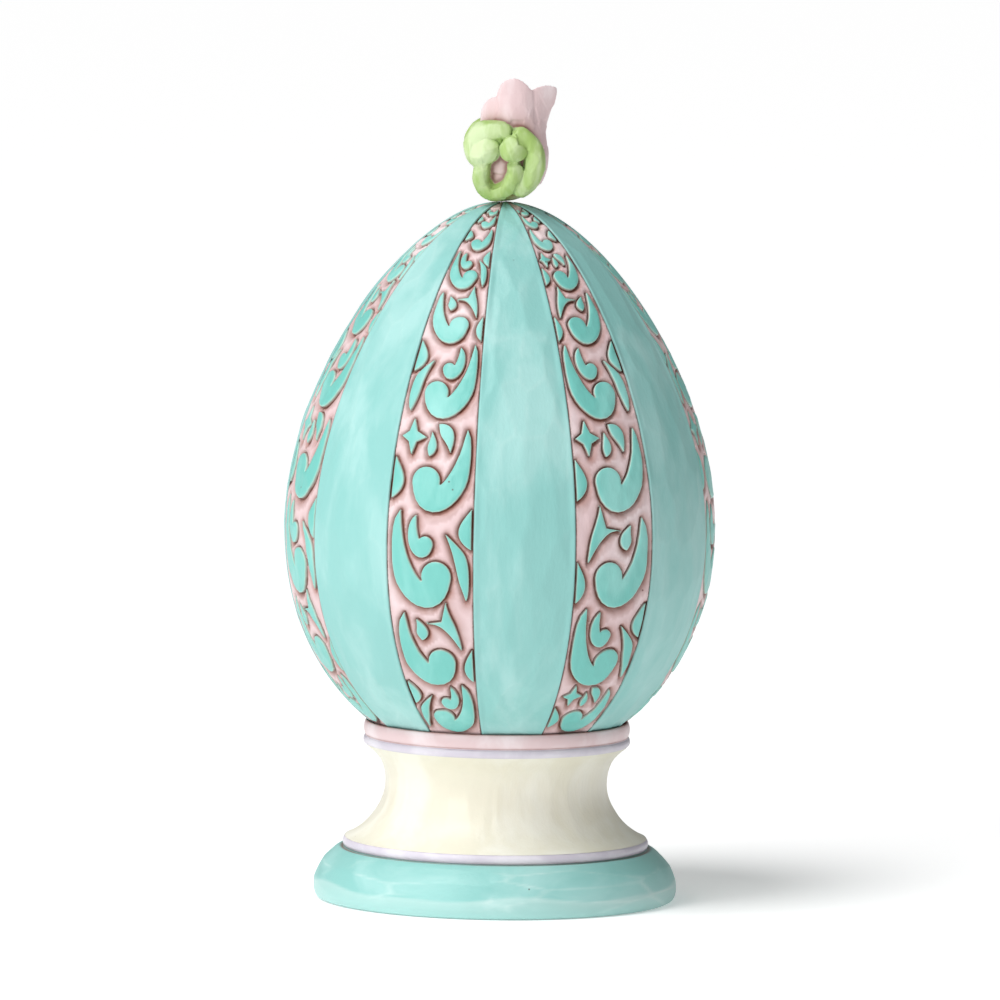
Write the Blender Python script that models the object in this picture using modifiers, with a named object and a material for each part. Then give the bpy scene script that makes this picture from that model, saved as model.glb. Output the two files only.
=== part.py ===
"""A decorative easter egg on a turned stand, with a tulip finial on its top.

Blender 4.5, metres, +Z up. The origin is the middle of the stand's underside, and the front faces -Y.
"""

import math

import bmesh
import bpy
import numpy as np
from mathutils import Vector

# Every size is in millimetres, and a point is scaled by MM when it enters a mesh.
MM = 0.001
PIECE_GAP = 0.3

# Stand, from the underside up
FOOT_RADIUS = 45.9
UNDERSIDE_RADIUS = 43.4
FOOT_EDGE_HEIGHT = 2.6
FOOT_HEIGHT = 12.9
FOOT_STEP = 0.9
FOOT_DOME_TURN = math.radians(61)
LOWER_LIP_RADIUS = 38.4
LOWER_LIP_HEIGHT = 2.5
WAIST_HEIGHT = 23.4
THROAT_RADIUS = 27.9
THROAT_HEIGHT = 13.8
UPPER_LIP_RADIUS = 33.5
UPPER_LIP_HEIGHT = 2.3
GROOVE_DEPTH = 0.9
RING_RADIUS = 33.4
RING_HEIGHT = 3.8
LIP_ROUNDING = 0.45
# How far the waist's curve keeps its direction at each end, in shares of the (radius, height) that it crosses
UPPER_FLARE = (0.62, 0.23)
UPPER_THROAT_EASE = 0.48
LOWER_THROAT_EASE = 0.46
LOWER_FLARE = (0.41, 0.11)
FOOT_CORNER_EASE = 0.3
STAND_SIDES = 32

# Egg: radius = R cos(t) (1 - taper sin(t) - fullness sin(t)^2), height = H sin(t)
EGG_RADIUS = 53.5
EGG_HALF_HEIGHT = 71.13
EGG_TAPER = 0.185
EGG_FULLNESS = 0.0675
EGG_SEAT_RADIUS = 32.5
EGG_SIDES = 44
EGG_RINGS = 17
# The part of the egg's top that the finial's underside is cut to
CROWN_TURN = math.radians(45)
CROWN_RINGS = 8

# Carved bands of scroll leaves
BAND_COUNT = 7
BAND_ANGLE = math.radians(24)
FIRST_BAND = math.radians(-18.9)
BAND_TOP_WIDTH = 2.2
BAND_START_BELOW_RING = 2.3
BAND_RINGS = 15
CARVE_DEPTH = 0.8
CUTTER_THICKNESS = 2.4
LEAF_ROOT = 0.8
BORDER_MARGIN = 0.55
SMALLEST_CARVED_LEAF = 5.0
SCROLL_NECK = 0.62
SCROLL_SWELL = 1.45
SCROLL_BULB = 0.54

# Motifs of leaves. Each leaf: its kind, the places of its head and its tip, how far it bows, its hook or notch,
# and its width.
# Places and widths are in half widths of the band at the motif; an edge leaf names its side first.
CREST = (
    ("scroll", (-0.30, 0.60), (0.70, 2.08), -0.50, 0.42, 0.62),
    ("scroll", (0.02, 1.32), (0.32, 1.98), -0.46, 0.42, 0.32),
    ("leaf", (-0.85, 0.12), (-0.38, 1.58), 0.14, 0, 0.36),
    ("edge", (-1, 1.26), (-1, 2.14), 0, 0, 0.28),
)
FORK = (
    ("scroll", (0.30, 0.60), (-0.70, 1.92), 0.50, 0.42, 0.62),
    ("fork", (0.15, 1.93), (0.70, 0.98), 0.10, 0.22, 0.74),
    ("edge", (1, 0.08), (1, 0.98), 0, 0, 0.20),
    ("leaf", (-0.27, 1.22), (-0.38, 1.76), -0.14, 0, 0.28),
)
STAR = (
    ("scroll", (-0.28, 0.58), (0.74, 1.84), -0.52, 0.42, 0.62),
    ("star", (-0.57, 1.64), (-0.57, 1.70), 0, 0, 0.33),
    ("edge", (-1, 0.20), (-1, 1.14), 0, 0, 0.26),
    ("leaf", (0.05, 1.95), (0.38, 1.30), 0.16, 0, 0.29),
    ("leaf", (-0.12, 1.20), (-0.10, 1.76), -0.1, 0, 0.20),
)
BUD = (
    ("scroll", (-0.20, 0.64), (0.60, 2.02), -0.46, 0.40, 0.60),
    ("edge", (-1, 0.92), (-1, 1.84), 0, 0, 0.34),
)
# The motifs that follow each other up the two kinds of band, each as drawn (1) or mirrored (-1)
BAND_CYCLES = (
    ((CREST, 1), (FORK, 1), (CREST, -1), (STAR, 1)),
    ((STAR, 1), (CREST, -1), (FORK, -1)),
)
MOTIF_HEIGHT = 2.15
FIRST_MOTIF = 1.0
BUD_HALF_BAND = 4.6
LAST_HALF_BAND = 1.3

# Tulip finial, in its own frame: x to the right, z up from the egg's top
TULIP_MIDDLE = 1.6
TULIP_BELLY_RADIUS = 9.4
TULIP_BELLY_HEIGHT = 12.0
TULIP_DEPTH_SHARE = 0.8
TULIP_DISH_DEPTH = 5.0
TULIP_WALL = 1.8
TULIP_LIP_DROP = 0.4
TULIP_FOOT_FULLNESS = 2.3
TULIP_NECK = 0.13
TULIP_FLARE_START = 0.55
TULIP_SIDES = 24
# The rim round the cup: (degrees round from the front to the right, height, radius)
TULIP_RIM = (
    (-180, 28.2, 7.0),
    (-150, 25.0, 7.3),
    (-120, 21.4, 7.7),
    (-90, 22.3, 8.0),
    (-75, 23.8, 8.0),
    (-60, 25.3, 7.9),
    (-45, 26.4, 7.6),
    (-33, 26.9, 7.3),
    (-25, 29.2, 7.3),
    (-12, 30.8, 7.2),
    (0, 31.3, 7.1),
    (15, 31.0, 7.2),
    (30, 29.8, 7.3),
    (42, 28.4, 7.4),
    (55, 29.0, 8.2),
    (72, 29.4, 9.8),
    (90, 28.3, 11.2),
    (105, 26.2, 9.9),
    (120, 24.0, 9.0),
    (150, 25.6, 7.5),
    (180, 28.2, 7.0),
)
# Each curling leaf: (x, z, half width) along its middle line, and the round ball at its end
CURLS = (
    ((1.6, 17.6, 1.6), (-1.8, 18.6, 2.1), (-5.5, 17.7, 2.7), (-7.5, 14.6, 2.7), (-6.9, 11.5, 2.5), (-4.5, 10.5, 2.1)),
    ((2.4, 17.6, 1.7), (4.8, 16.6, 2.1), (7.1, 13.6, 2.4), (7.5, 9.4, 2.6), (5.9, 5.2, 2.4), (2.8, 2.3, 1.7)),
    ((-5.7, 8.2, 1.9), (-5.6, 4.8, 2.2), (-2.9, 2.5, 2.1), (0.4, 3.6, 2.0), (2.3, 6.6, 1.8), (2.6, 9.6, 1.6)),
)
CURL_BALLS = ((-4.2, 13.2, 3.1), (2.1, 13.6, 3.4))
CURL_PROUD = 1.2
CURL_WRAP = 2.2
CURL_LOWEST_BELLY = 1.5

# Paint: base colour, roughness
TEAL_PAINT = ((0.35, 0.68, 0.64, 1.0), 0.42)
CREAM_PAINT = ((0.83, 0.79, 0.66, 1.0), 0.42)
PINK_PAINT = ((0.80, 0.63, 0.66, 1.0), 0.42)


def start_collections():
    """Clear the scene and make one collection for the pieces and one for what cuts or joins them."""
    for obj in list(bpy.data.objects):
        bpy.data.objects.remove(obj, do_unlink=True)
    made = {}
    for name in ("easter_egg_figurine", "helpers"):
        made[name] = bpy.data.collections.new(name)
        bpy.context.scene.collection.children.link(made[name])
    return made["easter_egg_figurine"], made["helpers"]


PIECES, HELPERS = start_collections()


def paint(name, look):
    colour, roughness = look
    material = bpy.data.materials.new(name)
    material.use_nodes = True
    shader = material.node_tree.nodes["Principled BSDF"]
    shader.inputs["Base Color"].default_value = colour
    shader.inputs["Roughness"].default_value = roughness
    shader.inputs["Metallic"].default_value = 0.0
    return material


def add_piece(name, mesh, look):
    obj = bpy.data.objects.new(name, mesh)
    PIECES.objects.link(obj)
    obj.data.materials.append(paint(name + "_paint", look))
    return obj


def add_helper(name, mesh):
    obj = bpy.data.objects.new(name, mesh)
    HELPERS.objects.link(obj)
    obj.hide_render = True
    obj.display_type = "WIRE"
    return obj


def profile_mesh(name, points):
    """An open line of (radius, height) points, ready for a Screw modifier."""
    mesh = bpy.data.meshes.new(name)
    corners = [(r * MM, 0.0, z * MM) for r, z in points]
    mesh.from_pydata(corners, [(i, i + 1) for i in range(len(corners) - 1)], [])
    return mesh


def turn(obj, steps, angle=math.tau):
    screw = obj.modifiers.new("Turned", "SCREW")
    screw.angle = angle
    screw.steps = screw.render_steps = steps
    screw.use_merge_vertices = True
    screw.merge_threshold = 0.0001
    screw.use_smooth_shade = True


def combine(obj, operation, helper=None, collection=None):
    boolean = obj.modifiers.new(operation.title(), "BOOLEAN")
    boolean.operation = operation
    boolean.solver = "EXACT"
    boolean.use_self = False
    if collection:
        boolean.operand_type = "COLLECTION"
        boolean.collection = collection
    else:
        boolean.object = helper


def mesh_of(obj):
    """The evaluated mesh of a curve or modified object, welded, and the object removed."""
    graph = bpy.context.evaluated_depsgraph_get()
    mesh = bpy.data.meshes.new_from_object(obj.evaluated_get(graph))
    work = bmesh.new()
    work.from_mesh(mesh)
    bmesh.ops.remove_doubles(work, verts=work.verts, dist=0.00001)
    work.to_mesh(mesh)
    work.free()
    bpy.data.objects.remove(obj, do_unlink=True)
    return mesh


# The egg's outline


def egg_outline(t, offset=0.0):
    """(radius, height above the egg's middle) at t, moved out along the normal by offset."""
    s, c = math.sin(t), math.cos(t)
    bulk = 1 - EGG_TAPER * s - EGG_FULLNESS * s * s
    radius = EGG_RADIUS * c * bulk
    slope_r = EGG_RADIUS * (-s * bulk - c * c * (EGG_TAPER + 2 * EGG_FULLNESS * s))
    slope_z = EGG_HALF_HEIGHT * c
    length = math.hypot(slope_r, slope_z)
    if length < 1e-9:
        return 0.0, math.copysign(EGG_HALF_HEIGHT + offset, s)
    return radius + offset * slope_z / length, EGG_HALF_HEIGHT * s - offset * slope_r / length


def seat_turn():
    """The t, in the egg's lower half, where its radius is the seat's."""
    low, high = -math.pi / 2, 0.0
    for _ in range(50):
        middle = (low + high) / 2
        if egg_outline(middle)[0] < EGG_SEAT_RADIUS:
            low = middle
        else:
            high = middle
    return low


WAIST_BOTTOM = FOOT_HEIGHT + LOWER_LIP_HEIGHT
WAIST_TOP = WAIST_BOTTOM + WAIST_HEIGHT
RING_BOTTOM = WAIST_TOP + UPPER_LIP_HEIGHT
RING_TOP = RING_BOTTOM + RING_HEIGHT
SEAT_TURN = seat_turn()
EGG_MIDDLE = RING_TOP - egg_outline(SEAT_TURN)[1]
EGG_TOP = EGG_MIDDLE + EGG_HALF_HEIGHT

# Samples of the meridian, by distance up the egg from the ring
MERIDIAN_TURNS = np.linspace(-math.pi / 2, math.pi / 2, 721)
MERIDIAN = np.array([egg_outline(t) for t in MERIDIAN_TURNS])
MERIDIAN_CLIMB = np.concatenate([[0.0], np.cumsum(np.hypot(*np.diff(MERIDIAN, axis=0).T))])
MERIDIAN_CLIMB -= np.interp(SEAT_TURN, MERIDIAN_TURNS, MERIDIAN_CLIMB)


def turn_at(climb):
    return float(np.interp(climb, MERIDIAN_CLIMB, MERIDIAN_TURNS))


def half_band(climb):
    return egg_outline(turn_at(climb))[0] * BAND_ANGLE / 2


def on_egg(across, climb, depth, azimuth):
    """A point of a band, depth below the egg's surface, with azimuth 0 at the front."""
    t = turn_at(climb)
    radius, height = egg_outline(t, -depth)
    angle = azimuth + across / max(egg_outline(t)[0], 1.0)
    return Vector((radius * math.sin(angle), -radius * math.cos(angle), EGG_MIDDLE + height)) * MM


# The outlines of the leaves, flat in their band


def spine(head, tip, bow, hook, steps):
    """Points and left-hand normals along a cubic curve from head to tip."""
    head, tip = Vector(head), Vector(tip)
    along = tip - head
    across = Vector((-along.y, along.x))
    near = head - hook * along + bow * across
    far = head + 0.55 * along + 1.15 * bow * across
    line = []
    for i in range(steps + 1):
        t = i / steps
        u = 1 - t
        point = u**3 * head + 3 * u * u * t * near + 3 * u * t * t * far + t**3 * tip
        way = (u * u * (near - head) + 2 * u * t * (far - near) + t * t * (tip - far)).normalized()
        line.append((t, point, Vector((-way.y, way.x))))
    return line


def scroll(head, tip, bow, hook, width, steps):
    """A curl with a round head, a cusp where its inner edge meets the head, and a pointed tail."""
    line = spine(head, tip, bow, hook, steps)
    side = -1 if bow > 0 else 1
    swell = [width / 2 * (1 - t) ** 0.7 * (SCROLL_NECK + SCROLL_SWELL * t) for t, _, _ in line]
    outer = [p - side * half * n for half, (_, p, n) in zip(swell, line)]
    inner = [p + side * half * n for half, (_, p, n) in zip(swell, line)]
    bulb = SCROLL_BULB * width
    centre = outer[0] + side * bulb * line[0][2]
    inside = [i for i, q in enumerate(inner) if (q - centre).length < 1.02 * bulb]
    first = inside[-1] + 1 if inside else 0
    start = math.atan2(*reversed(outer[0] - centre))
    end = math.atan2(*reversed(inner[first] - centre))
    travel = (side * (start - end)) % math.tau
    count = max(4, round(0.8 * steps))
    turns = [start - side * travel * k / count for k in range(1, count + 1)]
    head_arc = [centre + bulb * Vector((math.cos(a), math.sin(a))) for a in turns]
    return outer[::-1] + head_arc + inner[first:-1]


def leaf(head, tip, bow, _, width, steps):
    """A lens pointed at both ends."""
    line = spine(head, tip, bow, -0.3, steps)
    halves = [width / 2 * math.sin(math.pi * t**0.8) for t, _, _ in line]
    left = [p + half * n for half, (_, p, n) in zip(halves, line)]
    right = [p - half * n for half, (_, p, n) in zip(halves, line)]
    return left + right[-2:0:-1]


def fork(head, tip, bow, notch, width, steps):
    """A leaf with a pointed tail, whose wide end is notched between two horns."""
    line = spine(head, tip, bow, -0.3, steps)
    halves = [width / 2 * (0.62 * (1 - t) ** 0.8 + 0.38 * (1 - t) ** 6) for t, _, _ in line]
    left = [p + half * n for half, (_, p, n) in zip(halves, line)]
    right = [p - half * n for half, (_, p, n) in zip(halves, line)]
    deep = Vector(head).lerp(Vector(tip), notch)
    return [deep] + left + right[-2::-1]


def star(middle, _, bow, hook, size, steps):
    """A diamond with hollow sides."""
    points = []
    for k in range(8):
        angle = math.pi * k / 4
        reach = size if k % 2 == 0 else 0.42 * size
        points.append(Vector(middle) + reach * Vector((math.cos(angle), 1.25 * math.sin(angle))))
    return points


def edge(head, tip, bow, hook, width, steps):
    """Half a lens, lying along the border on one side of the band."""
    side, low = head
    high = tip[1]
    climbs = [low + (high - low) * i / steps for i in range(steps + 1)]
    outer = [Vector((side * (half_band(climb) - BORDER_MARGIN), climb)) for climb in climbs]
    inner = []
    for i in range(1, steps):
        inward = width * math.sin(math.pi * (i / steps) ** 0.8)
        inner.append(outer[i] - Vector((side * inward, 0.0)))
    return outer + inner[::-1]


SHAPES = {"scroll": scroll, "leaf": leaf, "fork": fork, "star": star, "edge": edge}


def leaf_steps(kind):
    return 5 if kind == "scroll" else 3


def squeezed(x, limit):
    """x, pressed smoothly inside the limit where it comes near it."""
    free = 0.8 * limit
    if abs(x) <= free:
        return x
    room = limit - free
    return math.copysign(free + room * (1 - math.exp((free - abs(x)) / room)), x)


def leaf_outline(kind, head, tip, bow, hook, width, steps):
    """The outline of one leaf, kept inside the band's borders."""
    outline = [tuple(point) for point in SHAPES[kind](head, tip, bow, hook, width, steps)]
    if kind == "edge":
        return outline
    return [(squeezed(x, half_band(climb) - BORDER_MARGIN), climb) for x, climb in outline]


def band_layout(cycle):
    """The leaves of a band in millimetres: motifs stacked up the egg, each as large as the band is wide there."""
    rows, foot, count = [], FIRST_MOTIF, 0
    while True:
        unit = half_band(foot + half_band(foot))
        if unit < LAST_HALF_BAND:
            return rows
        motif, side = cycle[count % len(cycle)]
        for kind, head, tip, bow, hook, width in motif if unit > BUD_HALF_BAND else BUD:
            head_across = side * head[0] * (1 if kind == "edge" else unit)
            start = (head_across, foot + head[1] * unit)
            end = (side * tip[0] * unit, foot + tip[1] * unit)
            rows.append((kind, start, end, side * bow, hook, width * unit))
        foot += MOTIF_HEIGHT * unit
        count += 1


def is_carved(kind, width):
    """Small leaves are left to the paint and the fine surface."""
    return width >= SMALLEST_CARVED_LEAF / (2 if kind == "edge" else 1)


# The pieces


def bezier(a, b, c, d, steps):
    a, b, c, d = Vector(a), Vector(b), Vector(c), Vector(d)
    found = []
    for i in range(1, steps + 1):
        t = i / steps
        u = 1 - t
        point = u**3 * a + 3 * u * u * t * b + 3 * u * t * t * c + t**3 * d
        found.append(tuple(point))
    return found


def waist_profile():
    """The concave waist from the upper lip down to the lower lip, through its throat."""
    top_radius = UPPER_LIP_RADIUS - LIP_ROUNDING
    low_radius = LOWER_LIP_RADIUS - LIP_ROUNDING
    throat = WAIST_BOTTOM + THROAT_HEIGHT
    upper, lower = WAIST_TOP - throat, throat - WAIST_BOTTOM
    above = bezier(
        (top_radius, WAIST_TOP),
        (top_radius - UPPER_FLARE[0] * (top_radius - THROAT_RADIUS), WAIST_TOP - UPPER_FLARE[1] * upper),
        (THROAT_RADIUS, throat + UPPER_THROAT_EASE * upper),
        (THROAT_RADIUS, throat),
        4,
    )
    below = bezier(
        (THROAT_RADIUS, throat),
        (THROAT_RADIUS, throat - LOWER_THROAT_EASE * lower),
        (low_radius - LOWER_FLARE[0] * (low_radius - THROAT_RADIUS), WAIST_BOTTOM + LOWER_FLARE[1] * lower),
        (low_radius, WAIST_BOTTOM),
        5,
    )
    return [(top_radius, WAIST_TOP)] + above + below


def foot_profile():
    """The domed foot, from the step under the lower lip round to the underside."""
    top_radius = LOWER_LIP_RADIUS + FOOT_STEP
    points = []
    for i in range(5):
        angle = FOOT_DOME_TURN * (1 - i / 4)
        inward = (1 - math.cos(angle)) / (1 - math.cos(FOOT_DOME_TURN))
        upward = math.sin(angle) / math.sin(FOOT_DOME_TURN)
        radius = FOOT_RADIUS - (FOOT_RADIUS - top_radius) * inward
        points.append((radius, FOOT_EDGE_HEIGHT + (FOOT_HEIGHT - FOOT_EDGE_HEIGHT) * upward))
    corner = FOOT_RADIUS - UNDERSIDE_RADIUS
    points.append((FOOT_RADIUS - FOOT_CORNER_EASE * corner, FOOT_CORNER_EASE * FOOT_EDGE_HEIGHT))
    return points + [(UNDERSIDE_RADIUS, 0.0), (0.0, 0.0)]


def stand_profile():
    """From the middle of the seat out to the ring, down the outside and in along the underside."""
    seat = []
    for i in range(6):
        t = -math.pi / 2 + (SEAT_TURN + math.pi / 2) * i / 5
        radius, height = egg_outline(t, PIECE_GAP)
        seat.append((radius, EGG_MIDDLE + height))
    rim_radius = seat[-1][0]
    bead = []
    for i in range(1, 4):
        angle = math.radians(90 - 45 * i)
        out = (RING_RADIUS - rim_radius) * math.cos(angle)
        bead.append((rim_radius + out, RING_BOTTOM + RING_HEIGHT / 2 * (1 + math.sin(angle))))
    groove = [(UPPER_LIP_RADIUS - GROOVE_DEPTH, RING_BOTTOM)]
    upper_lip = [
        (UPPER_LIP_RADIUS - LIP_ROUNDING, RING_BOTTOM - LIP_ROUNDING / 2),
        (UPPER_LIP_RADIUS, RING_BOTTOM - UPPER_LIP_HEIGHT / 2),
    ]
    lower_lip = [
        (LOWER_LIP_RADIUS, WAIST_BOTTOM - LIP_ROUNDING),
        (LOWER_LIP_RADIUS, FOOT_HEIGHT + LIP_ROUNDING),
        (LOWER_LIP_RADIUS - LIP_ROUNDING, FOOT_HEIGHT),
    ]
    return seat + bead + groove + upper_lip + waist_profile() + lower_lip + foot_profile()


def build_stand():
    stand = add_piece("stand", profile_mesh("stand", stand_profile()), CREAM_PAINT)
    turn(stand, STAND_SIDES)


def band_azimuths():
    return [FIRST_BAND + math.tau * k / BAND_COUNT for k in range(BAND_COUNT)]


def band_cutters():
    """For each band, a thin slice of shell that takes the carved depth off the egg."""
    cutters = bpy.data.collections.new("band_cutters")
    HELPERS.children.link(cutters)
    low, high = -BAND_START_BELOW_RING, MERIDIAN_CLIMB[-1]
    while 2 * half_band(high) < BAND_TOP_WIDTH:
        high -= 0.5
    climbs = [high + (low - high) * i / (BAND_RINGS - 1) for i in range(BAND_RINGS)]
    floor = [egg_outline(turn_at(climb), -CARVE_DEPTH) for climb in climbs]
    points = [(radius, height + EGG_MIDDLE) for radius, height in floor]
    for k, azimuth in enumerate(band_azimuths()):
        name = f"band_cutter_{k + 1}"
        cutter = bpy.data.objects.new(name, profile_mesh(name, points))
        cutters.objects.link(cutter)
        cutter.hide_render = True
        cutter.display_type = "WIRE"
        cutter.rotation_euler.z = azimuth - math.pi / 2 - BAND_ANGLE / 2
        turn(cutter, 3, BAND_ANGLE)
        thick = cutter.modifiers.new("Thick", "SOLIDIFY")
        thick.thickness = CUTTER_THICKNESS * MM
        thick.offset = 1.0
    return cutters


def flat_pad(outline, thickness):
    """A closed flat plate with this outline, from a filled curve."""
    curve = bpy.data.curves.new("pad", "CURVE")
    curve.dimensions = "2D"
    curve.fill_mode = "BOTH"
    curve.extrude = thickness / 2
    spline = curve.splines.new("POLY")
    spline.points.add(len(outline) - 1)
    for point, (x, climb) in zip(spline.points, outline):
        point.co = (x, climb, 0.0, 1.0)
    spline.use_cyclic_u = True
    obj = bpy.data.objects.new("pad", curve)
    HELPERS.objects.link(obj)
    bpy.context.view_layer.update()
    return mesh_of(obj)


def band_leaves():
    """The larger scroll leaves of every band, standing from under the carved floor up to the egg's surface."""
    thickness = CARVE_DEPTH + LEAF_ROOT
    work = bmesh.new()
    layouts = [band_layout(cycle) for cycle in BAND_CYCLES]
    for k, azimuth in enumerate(band_azimuths()):
        for kind, head, tip, bow, hook, width in layouts[k % 2]:
            if not is_carved(kind, width):
                continue
            outline = leaf_outline(kind, head, tip, bow, hook, width, leaf_steps(kind))
            pad = flat_pad(outline, thickness)
            for vertex in pad.vertices:
                x, climb, level = vertex.co
                vertex.co = on_egg(x, climb, thickness / 2 - level, azimuth)
            work.from_mesh(pad)
            bpy.data.meshes.remove(pad)
    bmesh.ops.recalc_face_normals(work, faces=work.faces)
    mesh = bpy.data.meshes.new("band_leaves")
    work.to_mesh(mesh)
    work.free()
    return add_helper("band_leaves", mesh)


def build_egg():
    points = []
    for i in range(EGG_RINGS + 1):
        radius, height = egg_outline(math.pi / 2 - math.pi * i / EGG_RINGS)
        points.append((max(radius, 0.0), EGG_MIDDLE + height))
    cutters, leaves = band_cutters(), band_leaves()
    egg = add_piece("egg", profile_mesh("egg", points), TEAL_PAINT)
    turn(egg, EGG_SIDES)
    combine(egg, "DIFFERENCE", collection=cutters)
    combine(egg, "UNION", helper=leaves)


def belly(height):
    """The tulip's radius without its rim: round below the belly, a little narrower above it."""
    if height < TULIP_BELLY_HEIGHT:
        share = 1 - height / TULIP_BELLY_HEIGHT
        return TULIP_BELLY_RADIUS * math.sqrt(max(0.0, 1 - share**TULIP_FOOT_FULLNESS))
    rise = (height - TULIP_BELLY_HEIGHT) / TULIP_BELLY_HEIGHT
    return TULIP_BELLY_RADIUS * (1 - TULIP_NECK * math.sin(min(rise, 1.0) * math.pi / 2))


def rim_at(angle):
    degrees = (math.degrees(angle) + 180) % 360 - 180
    angles, heights, radii = zip(*TULIP_RIM)
    return float(np.interp(degrees, angles, heights)), float(np.interp(degrees, angles, radii))


def cup_point(share, angle):
    """A point of the cup: share 0 at its foot, 1 at the rim and 2 at the middle of the dish on top."""
    rim_height, rim_radius = rim_at(angle)
    if share <= 1:
        height = rim_height * share
        flare = max(0.0, (share - TULIP_FLARE_START) / (1 - TULIP_FLARE_START))
        flare = flare * flare * (3 - 2 * flare)
        radius = belly(height) * (1 - flare) + rim_radius * flare
        middle = TULIP_MIDDLE * min(1.0, height / TULIP_BELLY_HEIGHT * 2)
    else:
        inward = share - 1
        radius = (rim_radius - TULIP_WALL) * (1 - inward)
        low = min(rim[1] for rim in TULIP_RIM) - TULIP_DISH_DEPTH
        height = low + (rim_height - TULIP_LIP_DROP - low) * (1 - inward) ** 2
        middle = TULIP_MIDDLE
    x = middle + radius * math.sin(angle)
    y = -radius * math.cos(angle) * TULIP_DEPTH_SHARE
    return Vector((x, y, EGG_TOP + height)) * MM


def tulip_cup():
    """A ball whose lower part becomes the cup's outside and whose top becomes the dish between the petals."""
    outer_rings, inner_rings = 10, 3
    rings = outer_rings + inner_rings
    work = bmesh.new()
    bmesh.ops.create_uvsphere(work, u_segments=TULIP_SIDES, v_segments=rings, radius=1.0)
    for vertex in work.verts:
        ring = round((math.pi / 2 + math.asin(max(-1.0, min(1.0, vertex.co.z)))) / math.pi * rings)
        share = ring / outer_rings if ring <= outer_rings else 1 + (ring - outer_rings) / inner_rings
        vertex.co = cup_point(share, math.atan2(vertex.co.x, -vertex.co.y))
    mesh = bpy.data.meshes.new("tulip_finial")
    work.to_mesh(mesh)
    work.free()
    return mesh


def wrapped(x, z):
    """A point in front of the tulip's body, standing a little proud of it."""
    reach = belly(max(z, CURL_LOWEST_BELLY))
    across = min(0.97, abs(x - TULIP_MIDDLE) / (reach + CURL_WRAP))
    y = -(TULIP_DEPTH_SHARE * reach + CURL_PROUD) * math.sqrt(1 - across * across)
    return Vector((x, y, EGG_TOP + z)) * MM


def curl_tube(points, back):
    curve = bpy.data.curves.new("curl", "CURVE")
    curve.dimensions = "3D"
    curve.bevel_depth = MM
    curve.bevel_resolution = 1
    curve.use_fill_caps = True
    curve.resolution_u = 2
    spline = curve.splines.new("BEZIER")
    spline.bezier_points.add(len(points) - 1)
    for knot, (x, z, half) in zip(spline.bezier_points, points):
        place = wrapped(x, z)
        place.y = -place.y if back else place.y
        knot.co = place
        knot.radius = half
        knot.handle_left_type = knot.handle_right_type = "AUTO"
    obj = bpy.data.objects.new("curl", curve)
    HELPERS.objects.link(obj)
    bpy.context.view_layer.update()
    return mesh_of(obj)


def curl_ball(x, z, radius, back):
    work = bmesh.new()
    bmesh.ops.create_uvsphere(work, u_segments=8, v_segments=6, radius=radius * MM)
    place = wrapped(x, z)
    place.y = -place.y if back else place.y
    bmesh.ops.translate(work, verts=work.verts, vec=place)
    mesh = bpy.data.meshes.new("curl_ball")
    work.to_mesh(mesh)
    work.free()
    return mesh


def build_finial():
    shapes = []
    for back in (False, True):
        shapes += [curl_tube(points, back) for points in (CURLS[:2] if back else CURLS)]
        shapes += [curl_ball(x, z, radius, back) for x, z, radius in CURL_BALLS]
    finial = add_piece("tulip_finial", tulip_cup(), PINK_PAINT)
    for number, shape in enumerate(shapes, 1):
        combine(finial, "UNION", helper=add_helper(f"curl_{number}", shape))
    crown = []
    for i in range(CROWN_RINGS + 1):
        radius, height = egg_outline(math.pi / 2 - CROWN_TURN * i / CROWN_RINGS, PIECE_GAP)
        crown.append((max(radius, 0.0), EGG_MIDDLE + height))
    crown += [(crown[-1][0], EGG_MIDDLE), (0.0, EGG_MIDDLE)]
    egg_crown = add_helper("egg_crown", profile_mesh("egg_crown", crown))
    turn(egg_crown, EGG_SIDES)
    combine(finial, "DIFFERENCE", helper=egg_crown)


build_finial()
build_egg()
build_stand()
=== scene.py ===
# %% [markdown]
# # A carved egg on a turned stand
# The real thing is a hand-painted resin casting that looks whittled from wood. It has three pieces: a
# turned stand, a carved egg that sits in it, and a little tulip on the egg's top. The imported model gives
# every size, so this first cell loads it and notes its box before anything is added.

import math

import bpy
import numpy as np
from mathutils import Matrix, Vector
from mathutils.geometry import delaunay_2d_cdt


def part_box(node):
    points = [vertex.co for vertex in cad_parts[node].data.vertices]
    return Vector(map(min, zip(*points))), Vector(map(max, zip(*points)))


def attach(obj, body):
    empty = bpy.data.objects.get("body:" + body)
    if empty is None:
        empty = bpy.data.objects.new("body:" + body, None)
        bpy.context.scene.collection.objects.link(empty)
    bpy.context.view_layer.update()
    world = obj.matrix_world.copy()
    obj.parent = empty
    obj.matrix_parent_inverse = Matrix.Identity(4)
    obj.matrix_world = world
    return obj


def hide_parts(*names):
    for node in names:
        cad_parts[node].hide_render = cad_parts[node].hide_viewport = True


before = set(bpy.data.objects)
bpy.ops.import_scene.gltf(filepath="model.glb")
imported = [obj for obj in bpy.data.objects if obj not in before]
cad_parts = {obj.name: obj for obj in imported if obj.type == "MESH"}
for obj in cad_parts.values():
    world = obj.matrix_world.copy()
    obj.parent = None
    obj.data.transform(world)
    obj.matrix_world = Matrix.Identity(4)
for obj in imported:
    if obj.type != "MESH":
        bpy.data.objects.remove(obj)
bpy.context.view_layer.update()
MM = 0.001
egg_low, egg_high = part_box("egg")
EGG_TOP = egg_high.z / MM
EGG_HALF_HEIGHT = (egg_high.z - egg_low.z) / 2 / MM
EGG_MIDDLE = EGG_TOP - EGG_HALF_HEIGHT
print(f"egg from {egg_low.z / MM:.1f} to {EGG_TOP:.1f} mm, nodes {sorted(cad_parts)}")


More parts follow.
